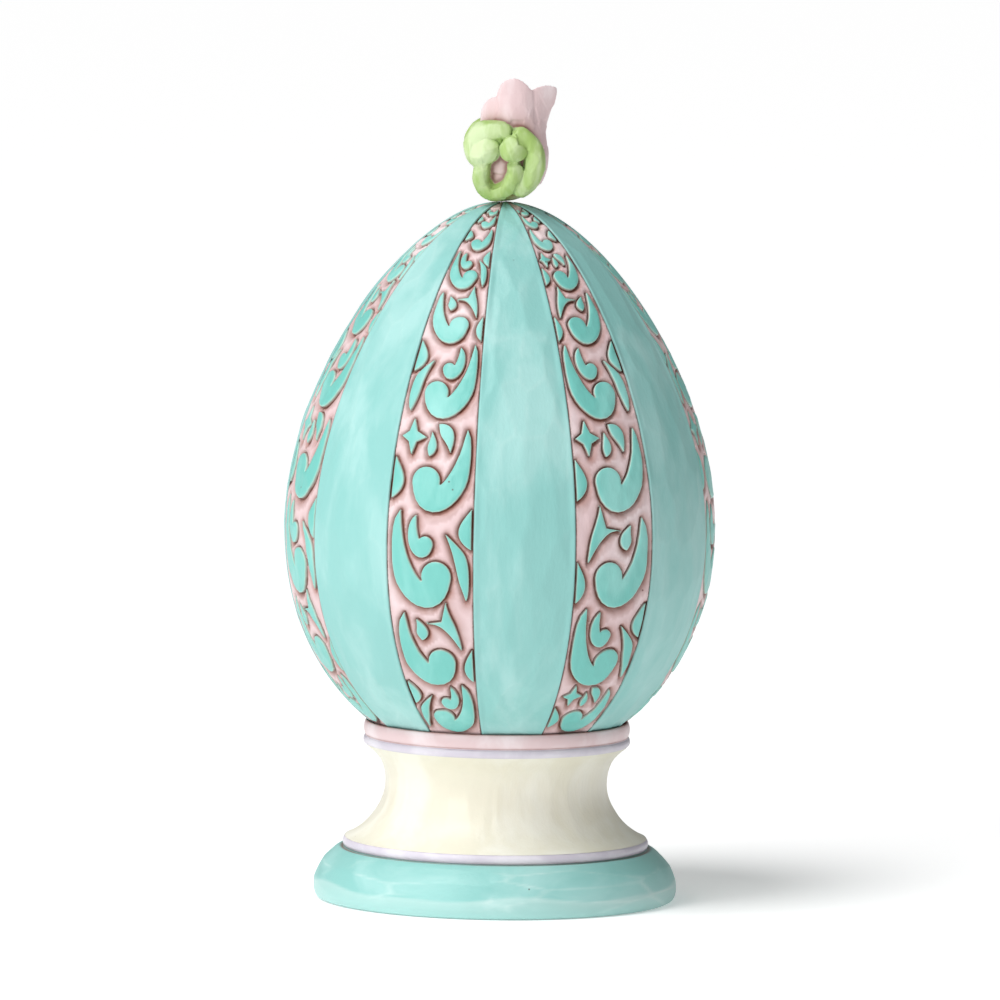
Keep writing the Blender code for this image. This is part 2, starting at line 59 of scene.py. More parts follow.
# %% [markdown]
# ## Helpers for meshes
# Where a primitive, a spin or a curve gives the form, a piece starts as one and is whittled afterwards: its
# points are read, moved by a height rule and put back. The carved bands are the exception. Their leaves
# follow no regular grid, so a band is triangulated first and comes in as points and faces. These helpers
# read and move points, store the masks that the paint needs, and hand a finished piece to the frame.


# %% Mesh helpers
def select_only(obj):
    """Leave this object alone selected and active, so that an operator acts on nothing else."""
    bpy.ops.object.select_all(action="DESELECT")
    obj.select_set(True)
    bpy.context.view_layer.objects.active = obj


def points_of(obj, what="co"):
    """The object's points, in millimetres, or their normals."""
    values = np.empty(len(obj.data.vertices) * 3, np.float32)
    obj.data.vertices.foreach_get(what, values)
    values = values.reshape(-1, 3).astype(float)
    return values / MM if what == "co" else values


def reshape(obj, points, masks=None):
    """Move the object's points to these, in millimetres, and keep named values for each point."""
    obj.data.vertices.foreach_set("co", (points * MM).ravel())
    for mask, values in (masks or {}).items():
        layer = obj.data.attributes.new(mask, "FLOAT", "POINT")
        layer.data.foreach_set("value", np.asarray(values, np.float32))
    obj.data.update()
    obj.data.shade_smooth()
    return obj


def make_piece(name, points, faces=(), edges=(), masks=None):
    """A mesh object from points in millimetres."""
    mesh = bpy.data.meshes.new(name)
    mesh.from_pydata((np.asarray(points) * MM).tolist(), edges, faces)
    obj = bpy.data.objects.new(name, mesh)
    bpy.context.scene.collection.objects.link(obj)
    return reshape(obj, np.asarray(points), masks)


def dress(obj, node, *materials):
    """Give a finished piece its paint and let it stand for its CAD node."""
    for material in materials:
        obj.data.materials.append(material)
    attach(obj, "root")
    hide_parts(node)
    print(f"{obj.name}: {len(obj.data.polygons)} faces")
    return obj


def smooth_step(value):
    """0 up to 0, 1 from 1 on, and a soft rise between."""
    value = np.clip(value, 0.0, 1.0)
    return value * value * (3 - 2 * value)


def fade_out(distance, width, power=2):
    """1 at distance 0, fading away over the width."""
    return np.exp(-((distance / width) ** power))


# In cells: how far a cut strays from its place, how far it reaches, and the width of the ridge between two
CELL_JITTER = 0.32
CUT_REACH = 0.75
RIDGE_WIDTH = 0.12


def facets(across, along, cell_across, cell_along, depth, seed):
    """Shallow whittled cuts: how deep each point lies, and how near it is to a ridge between two cuts."""
    random = np.random.default_rng(seed)
    low = (across.min() - cell_across, along.min() - cell_along)
    columns = int((across.max() - low[0]) / cell_across) + 2
    rows = int((along.max() - low[1]) / cell_along) + 2
    grid = np.stack(np.meshgrid(np.arange(columns), np.arange(rows)), -1).reshape(-1, 2).astype(float)
    grid[:, 0] += 0.5 * (grid[:, 1] % 2)
    grid += random.uniform(-CELL_JITTER, CELL_JITTER, grid.shape)
    nearest = np.full(across.shape, np.inf)
    second = np.full(across.shape, np.inf)
    x = (across - low[0]) / cell_across
    y = (along - low[1]) / cell_along
    for cell_x, cell_y in grid:
        distance = np.hypot(x - cell_x, y - cell_y)
        closer = distance < nearest
        second = np.where(closer, nearest, np.minimum(second, distance))
        nearest = np.where(closer, distance, nearest)
    cut = depth * (1 - np.clip(nearest / CUT_REACH, 0, 1) ** 2)
    ridge = 1 - smooth_step((second - nearest) / RIDGE_WIDTH)
    return cut, ridge


# %% [markdown]
# ## The egg's outline
# An egg is an ellipse whose width is pulled down towards the top. The same rule shaped the CAD egg, so the
# fine surface lies on it. Places on the egg are given as millimetres across a band and millimetres of climb
# up the meridian from the ring, which is how a carver would lay out the pattern.

# %% Egg outline
EGG_RADIUS = 53.5
EGG_TAPER = 0.185
EGG_FULLNESS = 0.0675
EGG_SEAT_RADIUS = 32.5
BAND_COUNT = 7
BAND_ANGLE = math.radians(24)
FIRST_BAND = math.radians(-18.9)
PANEL_ANGLE = math.tau / BAND_COUNT - BAND_ANGLE


def egg_outline(t, offset=0.0):
    """(radius, height above the egg's middle) at t, moved out along the normal by offset."""
    s, c = np.sin(t), np.cos(t)
    bulk = 1 - EGG_TAPER * s - EGG_FULLNESS * s * s
    slope_r = EGG_RADIUS * (-s * bulk - c * c * (EGG_TAPER + 2 * EGG_FULLNESS * s))
    slope_z = EGG_HALF_HEIGHT * c
    length = np.hypot(slope_r, slope_z)
    return EGG_RADIUS * c * bulk + offset * slope_z / length, EGG_HALF_HEIGHT * s - offset * slope_r / length


MERIDIAN_TURNS = np.linspace(-math.pi / 2, math.pi / 2, 2001)
MERIDIAN = np.stack(egg_outline(MERIDIAN_TURNS), -1)
lower_half = MERIDIAN_TURNS < 0
SEAT_TURN = float(np.interp(EGG_SEAT_RADIUS, MERIDIAN[lower_half, 0], MERIDIAN_TURNS[lower_half]))
MERIDIAN_CLIMB = np.concatenate([[0.0], np.cumsum(np.hypot(*np.diff(MERIDIAN, axis=0).T))])
MERIDIAN_CLIMB -= np.interp(SEAT_TURN, MERIDIAN_TURNS, MERIDIAN_CLIMB)
CLIMB_TO_TOP = MERIDIAN_CLIMB[-1]


def radius_at(climb):
    return np.interp(climb, MERIDIAN_CLIMB, MERIDIAN[:, 0])


def half_band(climb):
    return radius_at(climb) * BAND_ANGLE / 2


# The faceted CAD egg lies this far inside the smooth outline at its widest
SKIN_DEPTH = 0.08
# Stands in for the radius at the very top, where it would be nothing
POLE_RADIUS = 0.05


def on_egg(across, climb, depth, azimuth):
    """Points of the egg, depth below its surface, with azimuth 0 at the front and growing to the right."""
    t = np.interp(climb, MERIDIAN_CLIMB, MERIDIAN_TURNS)
    radius, height = egg_outline(t, -SKIN_DEPTH - np.asarray(depth))
    angle = azimuth + across / np.maximum(radius_at(climb), POLE_RADIUS)
    return np.stack([radius * np.sin(angle), -radius * np.cos(angle), EGG_MIDDLE + height], -1)


print(f"the egg climbs {CLIMB_TO_TOP:.1f} mm from the ring to its top")

# %% [markdown]
# ## The scroll leaves
# The bands carry leaf scrolls of the kind that painted folk furniture has: a curl with a round head and a
# pointed tail, lens leaves, a forked leaf and hollow diamonds. Each is a curve from head to tip with a
# width rule, so two short lists are enough to lay out all seven bands.

# %% Leaf shapes


def spine(head, tip, bow, hook, steps):
    """Points and left-hand normals along a cubic curve from head to tip."""
    head, tip = Vector(head), Vector(tip)
    along = tip - head
    across = Vector((-along.y, along.x))
    near = head - hook * along + bow * across
    far = head + 0.55 * along + 1.15 * bow * across
    line = []
    for i in range(steps + 1):
        t = i / steps
        u = 1 - t
        point = u**3 * head + 3 * u * u * t * near + 3 * u * t * t * far + t**3 * tip
        way = (u * u * (near - head) + 2 * u * t * (far - near) + t * t * (tip - far)).normalized()
        line.append((t, point, Vector((-way.y, way.x))))
    return line


def flanks(line, halves):
    """The left and the right side of a line that is this wide."""
    left = [p + half * n for half, (_, p, n) in zip(halves, line)]
    right = [p - half * n for half, (_, p, n) in zip(halves, line)]
    return left, right


def scroll(head, tip, bow, hook, width, steps):
    """A curl with a round head, a cusp where its inner edge meets the head, and a pointed tail."""
    line = spine(head, tip, bow, hook, steps)
    side = -1 if bow > 0 else 1
    swell = [width / 2 * (1 - t) ** 0.7 * (0.62 + 1.45 * t) for t, _, _ in line]
    inner, outer = flanks(line, swell)[::side]
    bulb = 0.54 * width
    centre = outer[0] + side * bulb * line[0][2]
    inside = [i for i, q in enumerate(inner) if (q - centre).length < 1.02 * bulb]
    first = inside[-1] + 1 if inside else 0
    start = math.atan2(*reversed(outer[0] - centre))
    end = math.atan2(*reversed(inner[first] - centre))
    travel = (side * (start - end)) % math.tau
    count = max(4, round(0.8 * steps))
    turns = [start - side * travel * k / count for k in range(1, count + 1)]
    head_arc = [centre + bulb * Vector((math.cos(a), math.sin(a))) for a in turns]
    return outer[::-1] + head_arc + inner[first:-1]


def leaf(head, tip, bow, _, width, steps):
    """A lens pointed at both ends."""
    line = spine(head, tip, bow, -0.3, steps)
    left, right = flanks(line, [width / 2 * math.sin(math.pi * t**0.8) for t, _, _ in line])
    return left + right[-2:0:-1]


def fork(head, tip, bow, notch, width, steps):
    """A leaf with a pointed tail, whose wide end is notched between two horns."""
    line = spine(head, tip, bow, -0.3, steps)
    halves = [width / 2 * (0.62 * (1 - t) ** 0.8 + 0.38 * (1 - t) ** 6) for t, _, _ in line]
    left, right = flanks(line, halves)
    deep = Vector(head).lerp(Vector(tip), notch)
    return [deep] + left + right[-2::-1]


def star(middle, _, bow, hook, size, steps):
    """A diamond with hollow sides."""
    points = []
    for k in range(8):
        angle = math.pi * k / 4
        reach = size if k % 2 == 0 else 0.42 * size
        points.append(Vector(middle) + reach * Vector((math.cos(angle), 1.25 * math.sin(angle))))
    return points


BORDER_MARGIN = 0.55


def edge(head, tip, bow, hook, width, steps):
    """Half a lens, lying along the border on one side of the band."""
    side, low = head
    high = tip[1]
    climbs = [low + (high - low) * i / steps for i in range(steps + 1)]
    outer = [Vector((side * (half_band(climb) - BORDER_MARGIN), climb)) for climb in climbs]
    inner = []
    for i in range(1, steps):
        inward = width * math.sin(math.pi * (i / steps) ** 0.8)
        inner.append(outer[i] - Vector((side * inward, 0.0)))
    return outer + inner[::-1]


# All take the same six values, so that a row of a layout can be passed to any of them
SHAPES = {"scroll": scroll, "leaf": leaf, "fork": fork, "star": star, "edge": edge}


def squeezed(x, limit):
    """x, pressed smoothly inside the limit where it comes near it."""
    free = 0.8 * limit
    if abs(x) <= free:
        return x
    room = limit - free
    return math.copysign(free + room * (1 - math.exp((free - abs(x)) / room)), x)


def leaf_outline(kind, head, tip, bow, hook, width, steps=18):
    """The outline of one leaf, kept inside the band's borders."""
    outline = [tuple(point) for point in SHAPES[kind](head, tip, bow, hook, width, steps)]
    if kind != "edge":
        outline = [(squeezed(x, half_band(climb) - BORDER_MARGIN), climb) for x, climb in outline]
    return np.array(outline)


# %% Leaf layouts
# Motifs of leaves. Each leaf: kind, places of its head and tip, bow, hook or notch, width.
# Places and widths are in half widths of the band at the motif; an edge leaf names its side first.
CREST = (
    ("scroll", (-0.30, 0.60), (0.70, 2.08), -0.50, 0.42, 0.62),
    ("scroll", (0.02, 1.32), (0.32, 1.98), -0.46, 0.42, 0.32),
    ("leaf", (-0.85, 0.12), (-0.38, 1.58), 0.14, 0, 0.36),
    ("edge", (-1, 1.26), (-1, 2.14), 0, 0, 0.28),
)
FORK = (
    ("scroll", (0.30, 0.60), (-0.70, 1.92), 0.50, 0.42, 0.62),
    ("fork", (0.15, 1.93), (0.70, 0.98), 0.10, 0.22, 0.74),
    ("edge", (1, 0.08), (1, 0.98), 0, 0, 0.20),
    ("leaf", (-0.27, 1.22), (-0.38, 1.76), -0.14, 0, 0.28),
)
STAR = (
    ("scroll", (-0.28, 0.58), (0.74, 1.84), -0.52, 0.42, 0.62),
    ("star", (-0.57, 1.64), (-0.57, 1.70), 0, 0, 0.33),
    ("edge", (-1, 0.20), (-1, 1.14), 0, 0, 0.26),
    ("leaf", (0.05, 1.95), (0.38, 1.30), 0.16, 0, 0.29),
    ("leaf", (-0.12, 1.20), (-0.10, 1.76), -0.1, 0, 0.20),
)
BUD = (
    ("scroll", (-0.20, 0.64), (0.60, 2.02), -0.46, 0.40, 0.60),
    ("edge", (-1, 0.92), (-1, 1.84), 0, 0, 0.34),
)
# The motifs that follow each other up the two kinds of band, each as drawn (1) or mirrored (-1)
BAND_CYCLES = (
    ((CREST, 1), (FORK, 1), (CREST, -1), (STAR, 1)),
    ((STAR, 1), (CREST, -1), (FORK, -1)),
)
MOTIF_HEIGHT = 2.15
FIRST_MOTIF = 1.0
BUD_HALF_BAND = 4.6
LAST_HALF_BAND = 1.3


def band_layout(cycle):
    """The leaves of a band in millimetres: motifs stacked up the egg, sized by the band's width there."""
    rows, foot, count = [], FIRST_MOTIF, 0
    while True:
        unit = float(half_band(foot + half_band(foot)))
        if unit < LAST_HALF_BAND:
            return rows
        motif, side = cycle[count % len(cycle)]
        for kind, head, tip, bow, hook, width in motif if unit > BUD_HALF_BAND else BUD:
            head_across = side * head[0] * (1 if kind == "edge" else unit)
            start = (head_across, foot + head[1] * unit)
            end = (side * tip[0] * unit, foot + tip[1] * unit)
            rows.append((kind, start, end, side * bow, hook, width * unit))
        foot += MOTIF_HEIGHT * unit
        count += 1


layouts = [band_layout(cycle) for cycle in BAND_CYCLES]
print("leaves in the two layouts:", [len(rows) for rows in layouts])

# %% [markdown]
# ## The carved bands
# On the real egg the leaves are left at the egg's surface and the pink ground is cut down around them. The
# cut is steep at a leaf's edge and slopes back up away from it. A dark wash sits in the corner, painted
# darker and wider on the side of a leaf turned from the light as painted shade, and the leaf's lit edge gets
# a painted highlight. One triangulated sheet per band can hold all of that: rings of points follow each
# leaf's outline on both sides, a loose grid fills the rest, and each point's depth comes from its distance to
# the nearest outline.

# %% Band sheets
BAND_BOTTOM = -1.5
BAND_TOP = CLIMB_TO_TOP - 1.0
OUTLINE_STEP = 0.38
BORDER_STEP = 0.5
GRID_STEP = 0.62
GRID_START = 0.4
GRID_REACH = 12
# Rows of points beside each leaf's outline, inside it where negative, and beside the band's border
RING_OFFSETS = (-0.42, -0.14, 0.07, 0.26, 0.55, 1.0)
BORDER_ROWS = (0.13, 0.35, 0.9)
# No point lies nearer to an outline than this: a share of a ring's own offset, or millimetres
RING_ROOM = 0.92
BORDER_ROW_ROOM = 0.12
GRID_ROOM = 0.75
BORDER_ROOM = 0.15
# The light falls from the upper left. On the side of a leaf turned from it the cut slopes back more gently,
# and the corner line and the wash are painted darker and wider there as painted shade
SHADED_SIDE = np.array((0.55, -0.83))
SHADED_SIDE_WIDTH = 0.1
POINTS_AT_ONCE = 1500


def densified(outline, step):
    """The closed outline with extra points, none further apart than step."""
    points = []
    for a, b in zip(outline, np.roll(outline, -1, axis=0)):
        count = max(1, int(np.ceil(np.hypot(*(b - a)) / step)))
        points += [a + (b - a) * i / count for i in range(count)]
    return np.array(points)


def signed_distance(points, starts, ends):
    """Distance to the nearest outline, negative inside a leaf, and how far the point is on the side of a leaf
    turned from the light.
    """
    found, shaded_side = np.empty(len(points)), np.empty(len(points))
    way = ends - starts
    length2 = np.maximum((way**2).sum(1), 1e-12)
    rise = np.where(np.abs(way[:, 1]) < 1e-12, 1e-12, way[:, 1])
    for low in range(0, len(points), POINTS_AT_ONCE):
        p = points[low : low + POINTS_AT_ONCE, None]
        along = np.clip(((p - starts) * way).sum(2) / length2, 0, 1)
        offset = p - starts - along[..., None] * way
        gap = np.sqrt((offset**2).sum(2))
        nearest = gap.argmin(1)
        rows = np.arange(len(nearest))
        gap, offset = gap[rows, nearest], offset[rows, nearest]
        above = (starts[:, 1] > p[..., 1]) != (ends[:, 1] > p[..., 1])
        crossing = starts[:, 0] + (p[..., 1] - starts[:, 1]) / rise * way[:, 0]
        inside = ((above & (p[..., 0] < crossing)).sum(1) % 2).astype(bool)
        found[low : low + POINTS_AT_ONCE] = np.where(inside, -gap, gap)
        sideways = (offset @ SHADED_SIDE) / np.maximum(gap, 1e-6)
        shaded_side[low : low + POINTS_AT_ONCE] = sideways * np.clip(gap / SHADED_SIDE_WIDTH, 0, 1)
    return found, 0.5 + 0.5 * shaded_side


def ring_points(outline, offset):
    """Points beside a closed outline, offset to its outside or, where negative, its inside."""
    before, after = np.roll(outline, 1, axis=0), np.roll(outline, -1, axis=0)
    way = after - before
    way /= np.maximum(np.hypot(*way.T), 1e-9)[:, None]
    area = (outline[:, 0] * after[:, 1] - after[:, 0] * outline[:, 1]).sum()
    outward = np.stack([way[:, 1], -way[:, 0]], -1) * np.sign(area)
    return outline + offset * outward


def band_sheet(rows):
    """The flat triangulation of one band: points, triangles, and where each point is to leaves and border."""
    outlines = [densified(leaf_outline(*row), OUTLINE_STEP) for row in rows]
    starts = np.concatenate(outlines)
    ends = np.concatenate([np.roll(o, -1, axis=0) for o in outlines])
    climbs = np.linspace(BAND_BOTTOM, BAND_TOP, int((BAND_TOP - BAND_BOTTOM) / BORDER_STEP))
    half = half_band(climbs)
    border = np.concatenate([np.stack([half, climbs], -1), np.stack([-half, climbs], -1)[::-1]])
    loose = [ring_points(o, offset) for o in outlines for offset in RING_OFFSETS]
    needed = [np.full(len(o), abs(offset) * RING_ROOM) for o in outlines for offset in RING_OFFSETS]
    for inward in BORDER_ROWS:
        for side in (-1, 1):
            loose.append(np.stack([side * (half - inward), climbs], -1)[1:-1])
            needed.append(np.full(len(climbs) - 2, BORDER_ROW_ROOM))
    across = np.arange(-GRID_REACH, GRID_REACH, GRID_STEP)
    up = np.arange(BAND_BOTTOM + GRID_START, BAND_TOP, GRID_STEP)
    grid = np.stack(np.meshgrid(across, up), -1).reshape(-1, 2)
    grid[:, 0] += GRID_STEP / 2 * (np.round((grid[:, 1] - up[0]) / GRID_STEP) % 2)
    loose.append(grid)
    needed.append(np.full(len(grid), GRID_ROOM))
    loose, needed = np.concatenate(loose), np.concatenate(needed)
    gap = np.abs(signed_distance(loose, starts, ends)[0])
    kept = (gap >= needed) & (np.abs(loose[:, 0]) < half_band(loose[:, 1]) - BORDER_ROOM)
    points = np.concatenate([border, starts, loose[kept]])
    edges = [(i, (i + 1) % len(border)) for i in range(len(border))]
    first = len(border)
    for o in outlines:
        edges += [(first + i, first + (i + 1) % len(o)) for i in range(len(o))]
        first += len(o)
    flat, _, triangles, _, _, _ = delaunay_2d_cdt([Vector(p) for p in points], edges, [], 0, 1e-5)
    flat = np.array([tuple(p) for p in flat])
    to_leaf, shaded_side = signed_distance(flat, starts, ends)
    to_leaf[np.abs(to_leaf) < 1e-4] = 0.0
    return flat, triangles, to_leaf, half_band(flat[:, 1]) - np.abs(flat[:, 0]), shaded_side


sheets = [band_sheet(rows) for rows in layouts]
print("band sheets of", [len(sheet[1]) for sheet in sheets], "triangles")

# %% Relief and stains
LEAF_CUT = 1.08
LEAF_WALL = 0.07
LEAF_ROUNDING = 0.14
LEAF_ROUNDING_WIDTH = 0.4
BORDER_GROUND = 0.1
OPEN_GROUND = 0.16
OPEN_WIDTH = 2.5
BORDER_GROOVE = 0.38
GROOVE_WIDTH = 0.3
BORDER_LINE_WIDTH = 0.14
CORNER_LINE_WIDTH = 0.25
BORDER_WASH = 0.4
BORDER_WASH_WIDTH = 0.5
# Width of the painted highlight along a leaf's lit edge
HIGHLIGHT_WIDTH = 0.13


def border_groove(to_border):
    """The depth of the engraved border line, which a band and a panel share."""
    return BORDER_GROOVE * (1 - smooth_step(to_border / GROOVE_WIDTH))


def carved_depth(to_leaf, to_border, shaded_side):
    """How far each point of a band lies below the egg's surface."""
    open_ground = BORDER_GROUND + (OPEN_GROUND - BORDER_GROUND) * smooth_step(to_border / OPEN_WIDTH)
    rise = smooth_step((to_leaf - LEAF_WALL) / (0.8 + 0.9 * shaded_side))
    ground = LEAF_CUT + (open_ground - LEAF_CUT) * rise
    leaf_top = LEAF_ROUNDING * (1 - smooth_step(-to_leaf / LEAF_ROUNDING_WIDTH))
    wall = leaf_top + (ground - leaf_top) * np.clip(to_leaf / LEAF_WALL, 0, 1)
    return np.maximum(np.where(to_leaf <= 0, leaf_top, wall), border_groove(to_border))


def band_stains(to_leaf, to_border, shaded_side, spread):
    """The dark line in the corner under a leaf and the softer wash beside it, both stronger and wider on the
    side turned from the light as painted shade, and the rim: a painted highlight along the leaf's edge on its
    lit side.
    """
    outside = to_leaf > 0
    from_wall = np.maximum(to_leaf - LEAF_WALL, 0)
    # The corner line and the wash are the antique wash, made stronger and wider on the side turned from the
    # light as painted shade
    corner = outside * fade_out(from_wall, CORNER_LINE_WIDTH) * (0.6 + 0.4 * shaded_side)
    line = np.maximum(corner, fade_out(to_border, BORDER_LINE_WIDTH))
    reach = spread * (0.85 + 1.25 * shaded_side)
    wash = outside * fade_out(from_wall, reach, 1.2) * (0.85 + 0.15 * shaded_side)
    wash = np.maximum(wash, BORDER_WASH * fade_out(to_border, BORDER_WASH_WIDTH, 1) * outside)
    # rim is a painted highlight along the leaf's edge, strongest on the side that faces the light
    rim = ~outside * fade_out(to_leaf, HIGHLIGHT_WIDTH) * (1 - shaded_side)
    return line, wash, rim


# %% [markdown]
# ## Paint
# The casting is brushed with satin acrylics. Each colour is uneven: soft strokes along the form, a few
# lighter dry patches, a brown wash rubbed into the cuts and tiny specks of it left on the flats. Light is
# painted in as well: the ridges between cuts and the lit edges of the band leaves are lightened as painted
# highlights, and on the bands the wash is laid darker on the side of a leaf turned from the light as painted
# shade. One node group makes the strokes, patches and specks from Object coordinates, and each paint mixes
# them in its own colours.

# %% Paint nodes


def node(tree, kind, inputs=None, **settings):
    """A new node with these settings; an input is linked where it is given a socket, and set otherwise."""
    made = tree.nodes.new(kind)
    for name, value in settings.items():
        setattr(made, name, value)
    for name, value in (inputs or {}).items():
        if isinstance(value, bpy.types.NodeSocket):
            tree.links.new(value, made.inputs[name])
        else:
            made.inputs[name].default_value = value
    return made


def mix(tree, factor, first, second):
    return node(tree, "ShaderNodeMix", {"Factor": factor, 6: first, 7: second}, data_type="RGBA").outputs[2]


def times(tree, first, second):
    return node(tree, "ShaderNodeMath", {0: first, 1: second}, operation="MULTIPLY").outputs[0]


def attribute(tree, name):
    return node(tree, "ShaderNodeAttribute", attribute_name=name).outputs["Fac"]


def noise(tree, vector, scale, **inputs):
    return node(tree, "ShaderNodeTexNoise", {"Vector": vector, "Scale": scale, **inputs}).outputs["Fac"]


def ramp(tree, value, start, end, low=0.0, high=1.0, shape="SMOOTHSTEP"):
    """low where the value is at start, rising to high at end."""
    inputs = {"Value": value, "From Min": start, "From Max": end, "To Min": low, "To Max": high}
    return node(tree, "ShaderNodeMapRange", inputs, interpolation_type=shape).outputs["Result"]


# %% Brushwork
# Noise scales, in features a metre
STREAK_SCALE = 900.0
SPECK_SCALE = 170.0
SPECK_PATCH_SCALE = 60.0
WEAR_SCALE = 260.0


def make_brushwork():
    """A group that gives the light patches, the dark specks, the fine height and the worn places of paint."""
    tree = bpy.data.node_groups.new("brushwork", "ShaderNodeTree")
    for name, kind in (("Stroke Stretch", "NodeSocketVector"), ("Patch Scale", "NodeSocketFloat")):
        tree.interface.new_socket(name, in_out="INPUT", socket_type=kind)
    for name in ("Patches", "Specks", "Height", "Wear"):
        tree.interface.new_socket(name, in_out="OUTPUT", socket_type="NodeSocketFloat")
    given = node(tree, "NodeGroupInput").outputs
    place = node(tree, "ShaderNodeTexCoord").outputs["Object"]
    stretch = node(tree, "ShaderNodeVectorMath", {0: place, 1: given["Stroke Stretch"]}, operation="MULTIPLY")
    strokes = stretch.outputs[0]
    patches = noise(tree, strokes, given["Patch Scale"], Detail=4.0, Roughness=0.55, Distortion=0.4)
    streaks = noise(tree, strokes, STREAK_SCALE, Detail=3.0)
    cells = node(tree, "ShaderNodeTexVoronoi", {"Vector": place, "Scale": SPECK_SCALE}).outputs["Distance"]
    speckled = ramp(tree, noise(tree, place, SPECK_PATCH_SCALE), 0.56, 0.62, shape="LINEAR")
    results = {
        "Patches": ramp(tree, patches, 0.42, 0.68),
        "Specks": times(tree, ramp(tree, cells, 0.06, 0.02), speckled),
        "Height": node(tree, "ShaderNodeMath", {0: patches, 1: streaks}, operation="ADD").outputs[0],
        "Wear": ramp(tree, noise(tree, place, WEAR_SCALE, Detail=3.0), 0.34, 0.56, low=0.72),
    }
    node(tree, "NodeGroupOutput", results)
    return tree


brushwork = make_brushwork()
print("brushwork gives", [item.name for item in brushwork.interface.items_tree if item.in_out == "OUTPUT"])

# %% Paints
LINE_BROWN = (0.092, 0.022, 0.008, 1.0)
WASH_BROWN = (0.27, 0.085, 0.042, 1.0)
# Colour of the painted highlight along the lit leaf edges
HIGHLIGHT_CREAM = (0.78, 0.80, 0.62, 1.0)
# Lightens the ridges between cuts as a painted highlight, and also the paler foot
RIDGE_WHITE = (0.80, 0.88, 0.85, 1.0)
# How much of each shows where its mask is full
PALE_SHARE = 0.38
HIGHLIGHT_SHARE = 0.6
SPECK_SHARE = 0.8
# Roughness of the deep and the light tone, and the relief of the strokes in metres
SATIN = (0.36, 0.52)
STROKE_RELIEF = 0.0002


def paint(name, deep, light, stretch=(1, 1, 0.35), patch_scale=70.0, leaf_colours=None, ridge_highlight=0.15):
    """A satin brushed paint: deep and light are its two tones, leaf_colours those of the leaves on it, and
    ridge_highlight how strongly the ridges between cuts are lightened as a painted highlight.
    """
    material = bpy.data.materials.new(name)
    material.use_nodes = True
    tree = material.node_tree
    brush = {"Stroke Stretch": stretch, "Patch Scale": patch_scale}
    brushed = node(tree, "ShaderNodeGroup", brush, node_tree=brushwork).outputs
    tone = mix(tree, brushed["Patches"], deep, light)
    if leaf_colours:
        tone = mix(tree, attribute(tree, "leaf"), tone, mix(tree, brushed["Patches"], *leaf_colours))
    # Painted light: the ridges between cuts and, on the bands, the lit leaf edges (the rim mask) are
    # lightened as painted highlights
    broken_ridge = times(tree, attribute(tree, "ridge"), brushed["Patches"])
    layers = (
        (times(tree, broken_ridge, ridge_highlight), RIDGE_WHITE),
        (times(tree, attribute(tree, "pale"), PALE_SHARE), RIDGE_WHITE),
        (times(tree, attribute(tree, "rim"), HIGHLIGHT_SHARE), HIGHLIGHT_CREAM),
        (times(tree, attribute(tree, "wash"), brushed["Wear"]), WASH_BROWN),
        (times(tree, brushed["Specks"], SPECK_SHARE), LINE_BROWN),
        (times(tree, attribute(tree, "line"), brushed["Wear"]), LINE_BROWN),
    )
    for share, colour in layers:
        tone = mix(tree, share, tone, colour)
    bump = {"Strength": 0.35, "Distance": STROKE_RELIEF, "Height": brushed["Height"]}
    shader = tree.nodes["Principled BSDF"].inputs
    tree.links.new(tone, shader["Base Color"])
    tree.links.new(ramp(tree, brushed["Patches"], 0.0, 1.0, *SATIN, shape="LINEAR"), shader["Roughness"])
    tree.links.new(node(tree, "ShaderNodeBump", bump).outputs["Normal"], shader["Normal"])
    shader["Specular IOR Level"].default_value = 0.4
    return material


# The deep and the light tone of each colour
TEAL = ((0.262, 0.558, 0.527, 1), (0.362, 0.637, 0.610, 1))
LEAF_TEAL = ((0.170, 0.530, 0.475, 1), (0.290, 0.650, 0.600, 1))
PINK = ((0.740, 0.560, 0.570, 1), (0.840, 0.715, 0.730, 1))
CREAM = ((0.800, 0.760, 0.630, 1), (0.865, 0.840, 0.745, 1))
LAVENDER = ((0.640, 0.590, 0.670, 1), (0.760, 0.720, 0.780, 1))
GREEN = ((0.350, 0.510, 0.150, 1), (0.600, 0.725, 0.420, 1))

teal_paint = paint("teal_panel_paint", *TEAL)
core_paint = paint("core_brown_paint", WASH_BROWN, LINE_BROWN)
band_paint = paint("carved_band_paint", *PINK, leaf_colours=LEAF_TEAL)
foot_paint = paint("foot_teal_paint", *TEAL, stretch=(1, 1, 2.5), patch_scale=35.0, ridge_highlight=0.3)
cream_paint = paint("waist_cream_paint", *CREAM)
lavender_paint = paint("lip_lavender_paint", *LAVENDER, stretch=(1, 1, 1))
ring_paint = paint("ring_pink_paint", *PINK, stretch=(1, 1, 1))
tulip_paint = paint("tulip_paint", *PINK, patch_scale=140.0, leaf_colours=GREEN, ridge_highlight=0.07)
print("paints:", [m.name for m in bpy.data.materials if m.name.endswith("paint")])

# %% [markdown]
# ## Bands and panels on the egg
# Each band is one of the two sheets wrapped onto the egg at its own azimuth. The plain panels between them
# are grids with long shallow knife cuts. Band and panel dip together into the engraved border line where
# they meet, and a plain brown core lies under both, so that no gap shows between them.

# %% Bands
# Knife cuts: the cell across, the cell along and the depth, in millimetres, then the seed of their places
BAND_CUTS = (3.2, 4.6, 0.17)
BAND_SEED = 40
BAND_CUT_FADE = 0.8
# A band this wide to each side has the full wash
FULL_HALF_BAND = 9


